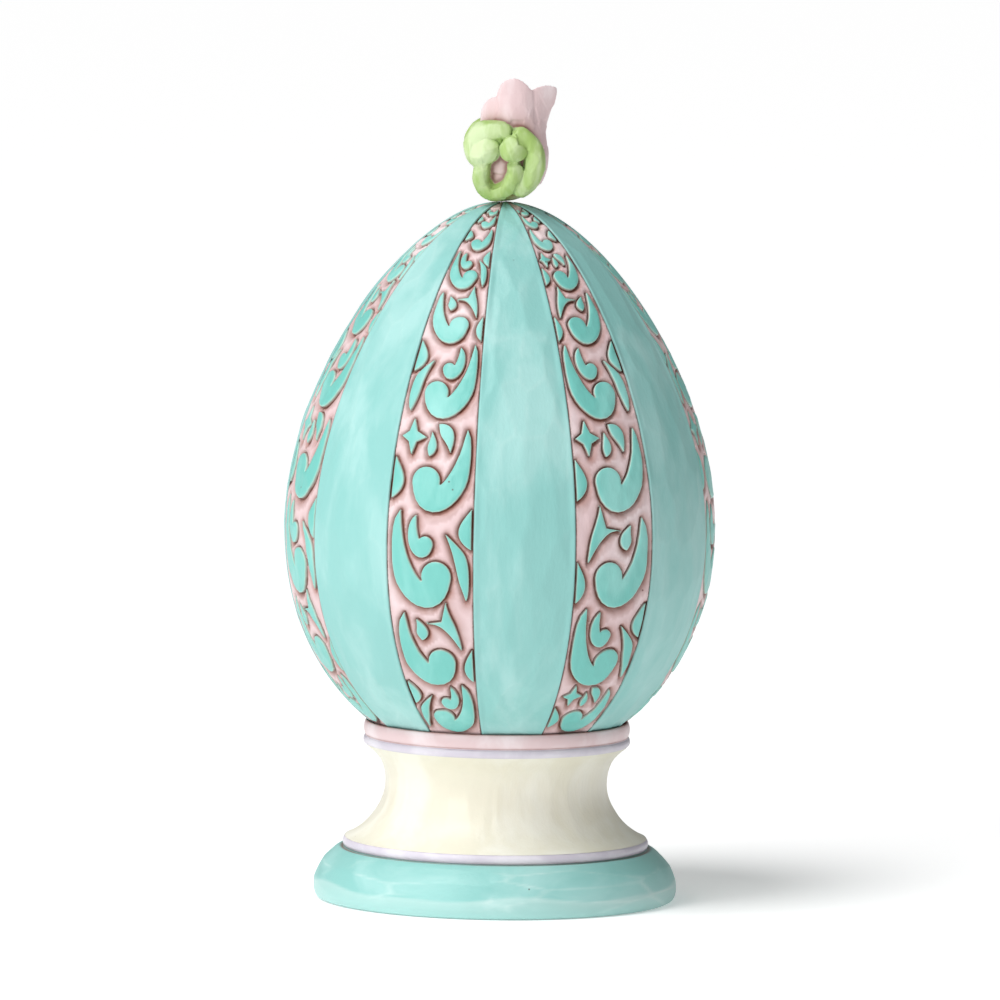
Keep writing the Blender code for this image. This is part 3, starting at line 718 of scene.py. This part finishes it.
def build_band(number, azimuth, sheet):
    flat, triangles, to_leaf, to_border, shaded_side = sheet
    depth = carved_depth(to_leaf, to_border, shaded_side)
    cut, _ = facets(flat[:, 0], flat[:, 1], *BAND_CUTS, BAND_SEED + number)
    points = on_egg(flat[:, 0], flat[:, 1], depth + cut * smooth_step(to_border / BAND_CUT_FADE), azimuth)
    spread = np.clip(half_band(flat[:, 1]) / FULL_HALF_BAND, 0.4, 1)
    line, wash, rim = band_stains(to_leaf, to_border, shaded_side, spread)
    masks = {"leaf": 1 - smooth_step(to_leaf / LEAF_WALL), "line": line, "wash": wash, "rim": rim}
    obj = make_piece(f"carved_band_{number}", points, [tuple(t) for t in triangles], masks=masks)
    return dress(obj, "egg", band_paint)


azimuths = [FIRST_BAND + math.tau * k / BAND_COUNT for k in range(BAND_COUNT)]
for k, azimuth in enumerate(azimuths):
    build_band(k + 1, azimuth, sheets[k % 2])

# %% Panels
PANEL_COLUMNS = 44
PANEL_ROWS = 230
PANEL_TOP = CLIMB_TO_TOP - 0.02
PANEL_CUTS = (6.0, 13.0, 0.32)
PANEL_SEED = 7
# The cuts start this far from the border line and are full this much further in
PANEL_CUT_START = 0.3
PANEL_CUT_FADE = 1.5
# The groove ends, and its dark line fades, where the panel is narrower than this to each side
GROOVE_HALF_PANEL = 0.8
LINE_HALF_PANEL = 1.5
# Over 1, the columns crowd towards the border line
COLUMN_CROWDING = 1.5


def build_panel(number, azimuth):
    """A grid primitive laid on the egg between two bands, with long knife cuts pressed into it."""
    bpy.ops.mesh.primitive_grid_add(x_subdivisions=PANEL_COLUMNS, y_subdivisions=PANEL_ROWS, size=2 * MM)
    panel = bpy.context.object
    across_share, up_share, _ = points_of(panel).T
    from_edge = np.clip(1 - np.abs(across_share), 0, 1)
    across_share = np.sign(across_share) * (1 - from_edge**COLUMN_CROWDING)
    climb = BAND_BOTTOM + (PANEL_TOP - BAND_BOTTOM) * (up_share + 1) / 2
    half = radius_at(climb) * PANEL_ANGLE / 2
    across = across_share * half
    to_border = half - np.abs(across)
    cut, ridge = facets(across, climb, *PANEL_CUTS, PANEL_SEED + number)
    fade = smooth_step((to_border - PANEL_CUT_START) / PANEL_CUT_FADE)
    depth = cut * fade + border_groove(to_border) * (half > GROOVE_HALF_PANEL)
    line = fade_out(to_border, BORDER_LINE_WIDTH) * np.clip(half / LINE_HALF_PANEL, 0, 1)
    middle = azimuth + (BAND_ANGLE + PANEL_ANGLE) / 2
    # The ridge mask is lightened in the paint as a painted highlight
    return reshape(panel, on_egg(across, climb, depth, middle), {"line": line, "ridge": 0.5 * ridge * fade})


panels = [build_panel(number, azimuth) for number, azimuth in enumerate(azimuths)]
for panel in panels:
    panel.select_set(True)
bpy.context.view_layer.objects.active = panels[0]
bpy.ops.object.join()
panels[0].name = "egg_panels"
dress(panels[0], "egg", teal_paint)

# %% Core
CORE_DEPTH = 1.3
CORE_ROWS = 60
CORE_SIDES = 96
WELD = 0.002


def turned(name, outline, sides):
    """A turned form: its (radius, height) outline, pole to pole, spun about the upright axis."""
    profile = [(0, -radius, height) for radius, height in outline]
    obj = make_piece(name, profile, edges=[(i, i + 1) for i in range(len(profile) - 1)])
    select_only(obj)
    bpy.ops.object.mode_set(mode="EDIT")
    bpy.ops.mesh.select_all(action="SELECT")
    bpy.ops.mesh.spin(steps=sides, angle=math.tau, center=(0, 0, 0), axis=(0, 0, 1))
    bpy.ops.mesh.select_all(action="SELECT")
    bpy.ops.mesh.remove_doubles(threshold=WELD * MM)
    bpy.ops.mesh.normals_make_consistent(inside=False)
    bpy.ops.object.mode_set(mode="OBJECT")
    obj.data.shade_smooth()
    return obj


core_turns = np.linspace(-math.pi / 2, math.pi / 2, CORE_ROWS)
core_outline = np.stack(egg_outline(core_turns, -CORE_DEPTH), -1) + (0, EGG_MIDDLE)
core_outline[[0, -1], 0] = 0
dress(turned("egg_core", core_outline, CORE_SIDES), "egg", core_paint)

# %% [markdown]
# ## The stand
# The stand is one turned casting: domed foot, lavender lip, concave cream waist, a second lip and the pink
# ring. Its outline is drawn once with straight runs and curves, then spun. After that shallow facets are
# pressed into the foot, and the wash is laid where two mouldings meet.

# %% Stand outline
FOOT_RADIUS = 45.9
UNDERSIDE_RADIUS = 43.4
FOOT_EDGE_HEIGHT = 2.6
FOOT_HEIGHT = 12.9
FOOT_STEP = 0.9
FOOT_DOME_TURN = math.radians(61)
LOWER_LIP_RADIUS = 38.4
LOWER_LIP_HEIGHT = 2.5
WAIST_HEIGHT = 23.4
THROAT_RADIUS = 27.9
THROAT_HEIGHT = 13.8
UPPER_LIP_RADIUS = 33.5
UPPER_LIP_HEIGHT = 2.3
GROOVE_DEPTH = 0.9
RING_RADIUS = 33.4
RING_HEIGHT = 3.8
LIP_ROUNDING = 0.45
WAIST_BOTTOM = FOOT_HEIGHT + LOWER_LIP_HEIGHT
WAIST_TOP = WAIST_BOTTOM + WAIST_HEIGHT
RING_BOTTOM = WAIST_TOP + UPPER_LIP_HEIGHT
RING_TOP = RING_BOTTOM + RING_HEIGHT


def bezier(a, b, c, d, steps):
    t = np.linspace(0, 1, steps + 1)[1:, None]
    a, b, c, d = (np.array(p) for p in (a, b, c, d))
    return (1 - t) ** 3 * a + 3 * (1 - t) ** 2 * t * b + 3 * (1 - t) * t * t * c + t**3 * d


def arc(middle, size, start, end, steps):
    """Points on an ellipse, from the start angle to the end angle in degrees."""
    angle = np.radians(np.linspace(start, end, steps + 1))
    return np.stack([middle[0] + size[0] * np.cos(angle), middle[1] + size[1] * np.sin(angle)], -1)


def stand_outline():
    """(radius, height) from the middle of the seat, under the egg, to the middle of the underside."""
    rim = EGG_SEAT_RADIUS + 0.15
    bead_size = (RING_RADIUS - rim, RING_HEIGHT / 2)
    bead = arc((rim, RING_BOTTOM + RING_HEIGHT / 2), bead_size, 90, -90, 16)
    seat_turns = np.linspace(SEAT_TURN - 0.12, SEAT_TURN, 4)
    seat = np.stack(egg_outline(seat_turns, 0.12), -1) + (0, EGG_MIDDLE)
    seat = np.concatenate([[(0, seat[0, 1])], seat])
    groove = arc((UPPER_LIP_RADIUS - GROOVE_DEPTH + 0.1, RING_BOTTOM), (0.3, 0.25), 60, -60, 4)
    lip_middle = RING_BOTTOM - UPPER_LIP_HEIGHT / 2
    lip = arc((UPPER_LIP_RADIUS - 0.6, lip_middle), (0.6, UPPER_LIP_HEIGHT / 2 - 0.15), 85, -85, 12)
    upper, lower = WAIST_TOP - WAIST_BOTTOM - THROAT_HEIGHT, THROAT_HEIGHT
    throat = WAIST_BOTTOM + THROAT_HEIGHT
    top_radius, low_radius = UPPER_LIP_RADIUS - LIP_ROUNDING, LOWER_LIP_RADIUS - LIP_ROUNDING
    above = bezier(
        (top_radius, WAIST_TOP),
        (top_radius - 0.62 * (top_radius - THROAT_RADIUS), WAIST_TOP - 0.23 * upper),
        (THROAT_RADIUS, throat + 0.48 * upper),
        (THROAT_RADIUS, throat),
        26,
    )
    below = bezier(
        (THROAT_RADIUS, throat),
        (THROAT_RADIUS, throat - 0.46 * lower),
        (low_radius - 0.41 * (low_radius - THROAT_RADIUS), WAIST_BOTTOM + 0.11 * lower),
        (low_radius, WAIST_BOTTOM),
        30,
    )
    lip_middle = FOOT_HEIGHT + LOWER_LIP_HEIGHT / 2
    low_lip = arc((LOWER_LIP_RADIUS - 0.7, lip_middle), (0.7, LOWER_LIP_HEIGHT / 2 - 0.1), 85, -85, 12)
    dome_turns = np.linspace(FOOT_DOME_TURN, 0, 28)
    inward = (1 - np.cos(dome_turns)) / (1 - math.cos(FOOT_DOME_TURN))
    upward = np.sin(dome_turns) / math.sin(FOOT_DOME_TURN)
    dome_radius = FOOT_RADIUS - (FOOT_RADIUS - LOWER_LIP_RADIUS - FOOT_STEP) * inward
    dome = np.stack([dome_radius, FOOT_EDGE_HEIGHT + (FOOT_HEIGHT - FOOT_EDGE_HEIGHT) * upward], -1)
    corner_size = (FOOT_RADIUS - UNDERSIDE_RADIUS, FOOT_EDGE_HEIGHT)
    corner = arc((UNDERSIDE_RADIUS, FOOT_EDGE_HEIGHT), corner_size, -8, -90, 8)
    step = [(LOWER_LIP_RADIUS + 0.1, FOOT_HEIGHT - 0.25)]
    bottom = [(UNDERSIDE_RADIUS * share, 0.0) for share in (0.66, 0.33, 0.0)]
    return np.concatenate([seat, bead, groove, lip, above, below, low_lip, step, dome, corner, bottom])


# %% Stand
STAND_SIDES = 288
# Knife cuts: the cell round the stand, the cell along its outline, the depth and the seed of their places
FOOT_CUTS = (24.0, 5.0, 0.35, 3)
WAIST_CUTS = (6.0, 14.0, 0.22, 4)
# How near a moulding the cuts may come, and how soon they are full from there
FOOT_CUT_ROOM = (0.2, 1.5)
WAIST_CUT_ROOM = (0.8, 2.5)
# The cuts are laid out on a cylinder of this radius
UNROLLED_RADIUS = 36.0
# Brown line and wash along the outline: (height of the joint, half width of its line along the outline,
# strength).
# The first three are where the wash has settled between mouldings; the last darkens the foot's bottom edge
# where it stands on the floor
JOINT_STAINS = (
    (FOOT_HEIGHT - 0.25, 0.25, 0.75),
    (RING_BOTTOM, 0.26, 1.0),
    (RING_TOP, 0.24, 0.9),
    (0.0, 0.4, 0.4),
)
# The joints lie outside this radius, and points of the seat and the underside inside it
INNERMOST_JOINT = 30
# The foot is paler below an uneven line at this height
TIDE_HEIGHT = 5.2


def well_between(height, low, high, room, fade):
    """1 well between two heights and 0 nearer to them than room."""
    return smooth_step((height - low - room) / fade) * smooth_step((high - room - height) / fade)


def build_stand():
    outline = stand_outline()
    obj = turned("turned_stand", outline, STAND_SIDES)
    x, y, height = points_of(obj).T
    angle, radius = np.arctan2(x, -y) % math.tau, np.hypot(x, y)
    path = np.concatenate([[0], np.cumsum(np.hypot(*np.diff(outline, axis=0).T))])
    row = (np.abs(radius[:, None] - outline[:, 0]) + np.abs(height[:, None] - outline[:, 1])).argmin(1)
    on_foot = well_between(height, 0, FOOT_HEIGHT, *FOOT_CUT_ROOM)
    on_waist = well_between(height, WAIST_BOTTOM, WAIST_TOP, *WAIST_CUT_ROOM)
    foot_cut, foot_ridge = facets(angle * UNROLLED_RADIUS, path[row], *FOOT_CUTS)
    waist_cut, waist_ridge = facets(angle * UNROLLED_RADIUS, path[row], *WAIST_CUTS)
    cut = foot_cut * on_foot + waist_cut * on_waist
    radius = radius - cut
    points = np.stack([radius * np.sin(angle), -radius * np.cos(angle), height], -1)
    line, wash = np.zeros(len(height)), np.zeros(len(height))
    for joint, width, strength in JOINT_STAINS:
        from_joint = np.abs(outline[:, 1] - joint) + np.maximum(0, INNERMOST_JOINT - outline[:, 0])
        away = np.abs(path[row] - path[from_joint.argmin()])
        line = np.maximum(line, 0.6 * strength * fade_out(away, width))
        wash = np.maximum(wash, strength * fade_out(away, 1.6 * width))
    below_tide = TIDE_HEIGHT + 0.6 * np.sin(5 * angle + 1.0) + 0.4 * np.sin(9 * angle) - height
    pale = smooth_step(below_tide / 0.8) * (0.45 + 0.55 * fade_out(np.maximum(below_tide, 0), 1.3, 1))
    # Ridges between the cuts, lightened in the paint as a painted highlight
    ridge = foot_ridge * on_foot + 0.3 * waist_ridge * on_waist
    masks = {"line": line, "wash": wash, "ridge": ridge, "pale": pale * (height < FOOT_HEIGHT)}
    reshape(obj, points, masks)
    middles = np.array([polygon.center.z for polygon in obj.data.polygons]) / MM
    levels = sum((middles < z).astype(int) for z in (RING_BOTTOM, WAIST_TOP, WAIST_BOTTOM, FOOT_HEIGHT))
    dress(obj, "stand", ring_paint, lavender_paint, cream_paint, lavender_paint, foot_paint)
    obj.data.polygons.foreach_set("material_index", levels)
    return obj


build_stand()

# %% [markdown]
# ## The tulip finial
# The tulip is a small whittled flower: a cup that stands on its rounded base, with petals that rise and
# flare, and thick green leaf curls laid round it. The cup starts as a ball primitive, whose rings are drawn
# out to the petals' heights and folded in for the dish. A rule for the rim gives soft petals that a sculpt
# would have to find by hand.

# %% Tulip cup
TULIP_MIDDLE = 1.6
TULIP_BELLY_RADIUS = 9.4
TULIP_BELLY_HEIGHT = 12.0
TULIP_DEPTH_SHARE = 0.8
TULIP_DISH_DEPTH = 5.0
TULIP_WALL = 1.8
# The rim round the cup: (degrees round from the front to the right, height, radius)
TULIP_RIM = np.array(
    (
        (-180, 28.2, 7.0), (-150, 25.0, 7.3), (-120, 21.4, 7.7), (-90, 22.3, 8.0),
        (-75, 23.8, 8.0), (-60, 25.3, 7.9), (-45, 26.4, 7.6), (-33, 26.9, 7.3),
        (-25, 29.2, 7.3), (-12, 30.8, 7.2), (0, 31.3, 7.1), (15, 31.0, 7.2),
        (30, 29.8, 7.3), (42, 28.4, 7.4), (55, 29.0, 8.2), (72, 29.5, 9.6),
        (90, 28.6, 11.7), (105, 26.2, 9.7), (120, 24.0, 9.0), (150, 25.6, 7.5),
        (180, 28.2, 7.0),
    )
)


def belly(height):
    """The tulip's radius without its rim: round below the belly, a little narrower above it."""
    height = np.asarray(height, float)
    share = np.clip(1 - height / TULIP_BELLY_HEIGHT, 0, 1)
    below = TULIP_BELLY_RADIUS * np.sqrt(np.clip(1 - share**2.3, 0, 1))
    rise = np.clip((height - TULIP_BELLY_HEIGHT) / TULIP_BELLY_HEIGHT, 0, 1)
    return np.where(share > 0, below, TULIP_BELLY_RADIUS * (1 - 0.13 * np.sin(rise * math.pi / 2)))


# The front petal stands this proud between its edges, in degrees; it rises out of the cup above a height
PETAL_PROUD = 0.55
PETAL_EDGES = (-31.0, 43.0)
PETAL_EDGE_WIDTH = 3
PETAL_HEIGHT = 15
PETAL_RISE = 8
# The shares of its height at which the cup starts to flare and over which it does
FLARE_START = 0.55
FLARE_LENGTH = 0.45
LIP_THICKNESS = 0.4


def rim_at(degrees):
    """The rim's height and radius, on smooth curves through the listed places."""
    angles = TULIP_RIM[:, 0]
    i = np.clip(np.searchsorted(angles, degrees, side="right") - 1, 0, len(angles) - 2)
    f = ((degrees - angles[i]) / (angles[i + 1] - angles[i]))[:, None]
    slope = np.gradient(TULIP_RIM[:, 1:], angles, axis=0)
    step = (angles[i + 1] - angles[i])[:, None]
    values = TULIP_RIM[:, 1:]
    h00, h10 = 2 * f**3 - 3 * f**2 + 1, f**3 - 2 * f**2 + f
    h01, h11 = -2 * f**3 + 3 * f**2, f**3 - f**2
    found = h00 * values[i] + h10 * step * slope[i] + h01 * values[i + 1] + h11 * step * slope[i + 1]
    return found[:, 0], found[:, 1]


CUP_SIDES = 180
CUP_RINGS = 106
RINGS_TO_RIM = 80


def cup_shape():
    """A ball primitive whose lower rings become the cup's outside up to the rim, and the rest its dish."""
    bpy.ops.mesh.primitive_uv_sphere_add(segments=CUP_SIDES, ring_count=CUP_RINGS, radius=MM)
    cup = bpy.context.object
    x, y, z = points_of(cup).T
    angle = np.arctan2(x, -y)
    degrees = np.degrees(angle)
    ring = (np.arcsin(np.clip(z, -1, 1)) / math.pi + 0.5) * CUP_RINGS
    rim_height, rim_radius = rim_at(degrees)
    inward = np.clip((ring - RINGS_TO_RIM) / (CUP_RINGS - RINGS_TO_RIM), 0, 1)
    share = np.minimum(ring / RINGS_TO_RIM, 1)
    height = rim_height * share
    flare = smooth_step((share - FLARE_START) / FLARE_LENGTH)
    radius = belly(height) * (1 - flare) + rim_radius * flare
    from_left = smooth_step((degrees - PETAL_EDGES[0] + PETAL_EDGE_WIDTH) / PETAL_EDGE_WIDTH)
    from_right = smooth_step((PETAL_EDGES[1] + PETAL_EDGE_WIDTH - degrees) / PETAL_EDGE_WIDTH)
    radius += PETAL_PROUD * (from_left * from_right - 0.6) * smooth_step((height - PETAL_HEIGHT) / PETAL_RISE)
    low = TULIP_RIM[:, 1].min() - TULIP_DISH_DEPTH
    in_dish = inward > 0.001
    radius = np.where(in_dish, (rim_radius - TULIP_WALL) * (1 - inward), radius)
    height = np.where(in_dish, low + (rim_height - LIP_THICKNESS - low) * (1 - inward) ** 2, height)
    middle = TULIP_MIDDLE * np.clip(height / TULIP_BELLY_HEIGHT * 2, 0, 1)
    y = -radius * np.cos(angle) * TULIP_DEPTH_SHARE
    return reshape(cup, np.stack([middle + radius * np.sin(angle), y, EGG_TOP + height], -1))


# %% [markdown]
# ### The leaf curls
# Each curl's middle line is a smooth curve through a few chosen places on the cup, and its bevel and the
# radius at each point make it a thick tapering leaf. Balls round off two of them. One voxel remesh
# joins them to the cup as in a casting, and flat cuts pressed into the joined surface give the whittled
# look.

# %% Leaf curls
# Each curl: (x, height, half width) along its middle line. Each ball: x, height, radius
CURLS = (
    ((1.6, 17.5, 1.7), (-1.8, 18.2, 2.3), (-5.3, 17.6, 2.8),
     (-7.2, 14.8, 3.0), (-6.7, 12.2, 3.0), (-4.9, 11.6, 2.8)),
    ((2.4, 17.6, 1.7), (4.8, 16.6, 2.1), (7.1, 13.6, 2.4), (7.5, 9.4, 2.6), (5.9, 5.2, 2.4), (2.8, 2.3, 1.7)),
    ((-5.3, 10.8, 1.9), (-5.7, 5.4, 2.2), (-2.9, 2.5, 2.1),
     (0.4, 3.6, 2.0), (2.3, 6.6, 1.9), (2.6, 10.2, 1.8)),
)
CURL_BALLS = ((-4.2, 13.2, 3.1), (2.1, 13.6, 3.4))
CURL_PROUD = 1.2


def smooth_line(knots, count):
    """Points on a smooth curve that passes through the knots."""
    knots = np.array(knots)
    padded = np.concatenate([[2 * knots[0] - knots[1]], knots, [2 * knots[-1] - knots[-2]]])
    t = np.linspace(0, len(knots) - 1 - 1e-9, count)
    i, f = t.astype(int), (t % 1)[:, None]
    a, b, c, d = (padded[i + k] for k in range(4))
    return 0.5 * (2 * b + (c - a) * f + (2 * a - 5 * b + 4 * c - d) * f**2 + (3 * b - a - 3 * c + d) * f**3)


def wrapped(x, z):
    """Points in front of the tulip's body, standing a little proud of it."""
    reach = belly(np.maximum(z, 1.5))
    across = np.minimum(0.97, np.abs(x - TULIP_MIDDLE) / (reach + 2.2))
    y = -(TULIP_DEPTH_SHARE * reach + CURL_PROUD) * np.sqrt(1 - across**2)
    return np.stack([x, y, EGG_TOP + z], -1)


CURL_STEPS = 72
CURL_END = 0.06


def lay_curl(knots, back):
    """A round-ended tube through the knots, each (x, z, half width), and its middle line with half widths."""
    line = smooth_line(knots, CURL_STEPS)
    centres = wrapped(line[:, 0], line[:, 1])
    centres[:, 1] *= -1 if back else 1
    travel = np.linspace(0, 1, CURL_STEPS)
    from_end = np.clip(1 - np.minimum(travel, 1 - travel) / CURL_END, 0, 1)
    half = line[:, 2] * np.sqrt(np.clip(1 - from_end**2, 0.02, 1))
    data = bpy.data.curves.new("curl", "CURVE")
    data.dimensions = "3D"
    data.bevel_depth = MM
    data.bevel_resolution = 6
    data.use_fill_caps = True
    spline = data.splines.new("POLY")
    spline.points.add(CURL_STEPS - 1)
    spline.points.foreach_set("co", np.column_stack([centres * MM, np.ones(CURL_STEPS)]).ravel())
    spline.points.foreach_set("radius", half)
    curl = bpy.data.objects.new("curl", data)
    bpy.context.scene.collection.objects.link(curl)
    select_only(curl)
    bpy.ops.object.convert(target="MESH")
    return bpy.context.object, np.column_stack([centres, half])


def lay_ball(x, z, radius, back):
    """A ball on the cup, with its centre and radius."""
    centre = wrapped(np.array([x]), np.array([z]))[0]
    centre[1] *= -1 if back else 1
    bpy.ops.mesh.primitive_uv_sphere_add(
        segments=40,
        ring_count=24,
        radius=radius * MM,
        location=centre * MM,
    )
    return bpy.context.object, np.array([[*centre, radius]])


# %% Join the tulip
TULIP_VOXEL = 0.26
TULIP_FACETS = 190
FACET_PRESS = 0.55
FACET_SEED = 11
# Facing quite another way than a cut counts as being this much further from it
TURN_COST = 2.5
CUT_FADE = 0.5
CUT_RIDGE = 0.35
# Green reaches this far from a curl, and up to this height at the base
LEAF_REACH = 0.15
LEAF_EDGE = 0.2
GREEN_BASE = 2.9


def join_skins(cup, others):
    """The cup and the other closed shapes in one skin, made by a voxel remesh, then softened."""
    select_only(cup)
    for obj in others:
        obj.select_set(True)
    bpy.ops.object.join()
    remesh = cup.modifiers.new("One skin", "REMESH")
    remesh.mode = "VOXEL"
    remesh.voxel_size = TULIP_VOXEL * MM
    bpy.ops.object.modifier_apply(modifier=remesh.name)
    soften = cup.modifiers.new("Soften", "SMOOTH")
    soften.factor = 0.5
    soften.iterations = 12
    bpy.ops.object.modifier_apply(modifier=soften.name)


def press_facets(points, normals, count, press, seed):
    """Move each point towards the tangent plane of its nearest cut, and mark the ridges between cuts."""
    random = np.random.default_rng(seed)
    tries = random.choice(len(points), 6 * count, replace=False)
    chosen = [tries[0]]
    gap = np.linalg.norm(points[tries] - points[chosen[0]], axis=1)
    while len(chosen) < count:
        chosen.append(tries[gap.argmax()])
        gap = np.minimum(gap, np.linalg.norm(points[tries] - points[chosen[-1]], axis=1))
    centres, ways = points[chosen], normals[chosen]
    nearest = np.full(len(points), np.inf)
    second = nearest.copy()
    owner = np.zeros(len(points), int)
    for k, (centre, way) in enumerate(zip(centres, ways)):
        distance = np.linalg.norm(points - centre, axis=1) + TURN_COST * (1 - normals @ way)
        closer = distance < nearest
        second = np.where(closer, nearest, np.minimum(second, distance))
        nearest = np.where(closer, distance, nearest)
        owner[closer] = k
    height = ((points - centres[owner]) * ways[owner]).sum(1)
    fade = smooth_step((second - nearest) / CUT_FADE)
    moved = points - (press * (0.35 + 0.65 * fade) * height)[:, None] * ways[owner]
    return moved, 1 - smooth_step((second - nearest) / CUT_RIDGE)


def build_tulip():
    """The cup and its curls in one skin, with flat cuts, and masks that tell leaf from petal."""
    obj = cup_shape()
    obj.name = "tulip"
    curls = [lay_curl(knots, back) for back in (False, True) for knots in (CURLS[:2] if back else CURLS)]
    curls += [lay_ball(*place, back) for back in (False, True) for place in CURL_BALLS]
    middles = np.concatenate([middle for _, middle in curls])
    join_skins(obj, [shape for shape, _ in curls])
    points, normals = points_of(obj), points_of(obj, "normal")
    outside = np.full(len(points), np.inf)
    for *centre, half in middles:
        outside = np.minimum(outside, np.linalg.norm(points - centre, axis=1) - half)
    degrees = np.degrees(np.arctan2(points[:, 0] - TULIP_MIDDLE, -points[:, 1] / TULIP_DEPTH_SHARE))
    below_rim = rim_at(degrees)[0] - (points[:, 2] - EGG_TOP)
    press = FACET_PRESS * (0.25 + 0.75 * smooth_step((below_rim - 1.0) / 3.0))
    points, ridge = press_facets(points, normals, TULIP_FACETS, press, FACET_SEED)
    off_leaf = smooth_step((outside - LEAF_REACH) / LEAF_EDGE)
    # The ridge mask is lightened in the paint as a painted highlight
    masks = {
        "leaf": np.maximum(1 - off_leaf, smooth_step((EGG_TOP + GREEN_BASE - points[:, 2]) / 0.4)),
        "line": 0.4 * fade_out(outside - 0.7, 0.4),
        "wash": 0.8 * fade_out(np.maximum(outside - 0.5, 0), 1.3, 1) * off_leaf,
        "ridge": ridge,
    }
    return dress(reshape(obj, points, masks), "tulip_finial", tulip_paint)


build_tulip()

# %% [markdown]
# ## Floor, light and camera
# The photograph is a studio shot on white: one large soft light from the front left, a high soft one from
# the right and an even white surround. A long lens three metres away keeps the upright lines straight.

# %% Floor and lights
WHITE = (1, 1, 1, 1)
FLOOR_SIZE = 16.0
FLOOR_GREY = (0.97, 0.97, 0.97, 1)
FLOOR_ROUGHNESS = 0.9
FLOOR_GLOW = 0.27
SURROUND_LIGHT = 0.25

bpy.ops.mesh.primitive_plane_add(size=FLOOR_SIZE, location=(0, 0, 0))
floor = bpy.context.object
floor.name = "studio_floor"
floor_material = bpy.data.materials.new("pale_floor")
floor_material.use_nodes = True
floor_shader = floor_material.node_tree.nodes["Principled BSDF"].inputs
floor_shader["Base Color"].default_value = FLOOR_GREY
floor_shader["Roughness"].default_value = FLOOR_ROUGHNESS
floor_shader["Emission Color"].default_value = WHITE
floor_shader["Emission Strength"].default_value = FLOOR_GLOW
floor.data.materials.append(floor_material)

world = bpy.data.worlds.new("white_surround")
bpy.context.scene.world = world
world.use_nodes = True
background = world.node_tree.nodes["Background"].inputs
background["Color"].default_value = WHITE
background["Strength"].default_value = SURROUND_LIGHT
bpy.context.scene.view_settings.view_transform = "Standard"


def add_lamp(name, kind, energy):
    """A lamp object and its light."""
    data = bpy.data.lights.new(name, kind)
    data.energy = energy
    lamp = bpy.data.objects.new(name, data)
    bpy.context.scene.collection.objects.link(lamp)
    return lamp, data


KEY_PLACE = Vector((-1.0, -1.2, 0.75))
KEY_AIM = Vector((0, 0, 0.1))
KEY_SIZE = (0.8, 1.0)
KEY_WATTS = 13.5
HIGH_STRENGTH = 1.85
HIGH_SPREAD = math.radians(30)
HIGH_TURN = (math.radians(28), 0, math.radians(-55))

key_lamp, key_light = add_lamp("key_light", "AREA", KEY_WATTS)
key_light.shape = "RECTANGLE"
key_light.size, key_light.size_y = KEY_SIZE
key_lamp.location = KEY_PLACE
key_lamp.rotation_euler = (KEY_AIM - KEY_PLACE).to_track_quat("-Z", "Y").to_euler()

high_lamp, high_light = add_lamp("high_light", "SUN", HIGH_STRENGTH)
high_light.angle = HIGH_SPREAD
high_lamp.rotation_euler = HIGH_TURN
print("lights:", [lamp.name for lamp in (key_lamp, high_lamp)])

# %% Camera
CAMERA_DISTANCE = 3.0
CAMERA_RISE = math.radians(5.5)
CAMERA_ROLL = math.radians(0.77)
FRAME_HEIGHT = 0.2507
AIM_HEIGHT = 0.1004
SENSOR_WIDTH = 36.0
camera_data = bpy.data.cameras.new("photo_camera")
camera = bpy.data.objects.new("photo_camera", camera_data)
bpy.context.scene.collection.objects.link(camera)
aim = Vector((0, 0, AIM_HEIGHT))
camera.location = aim + CAMERA_DISTANCE * Vector((0, -math.cos(CAMERA_RISE), math.sin(CAMERA_RISE)))
camera.rotation_euler = (aim - camera.location).to_track_quat("-Z", "Y").to_euler()
camera.rotation_euler.rotate_axis("Z", CAMERA_ROLL)
camera_data.sensor_width = SENSOR_WIDTH
camera_data.lens = SENSOR_WIDTH * CAMERA_DISTANCE / FRAME_HEIGHT
bpy.context.scene.camera = camera
print(f"camera with a {camera_data.lens:.0f} mm lens")
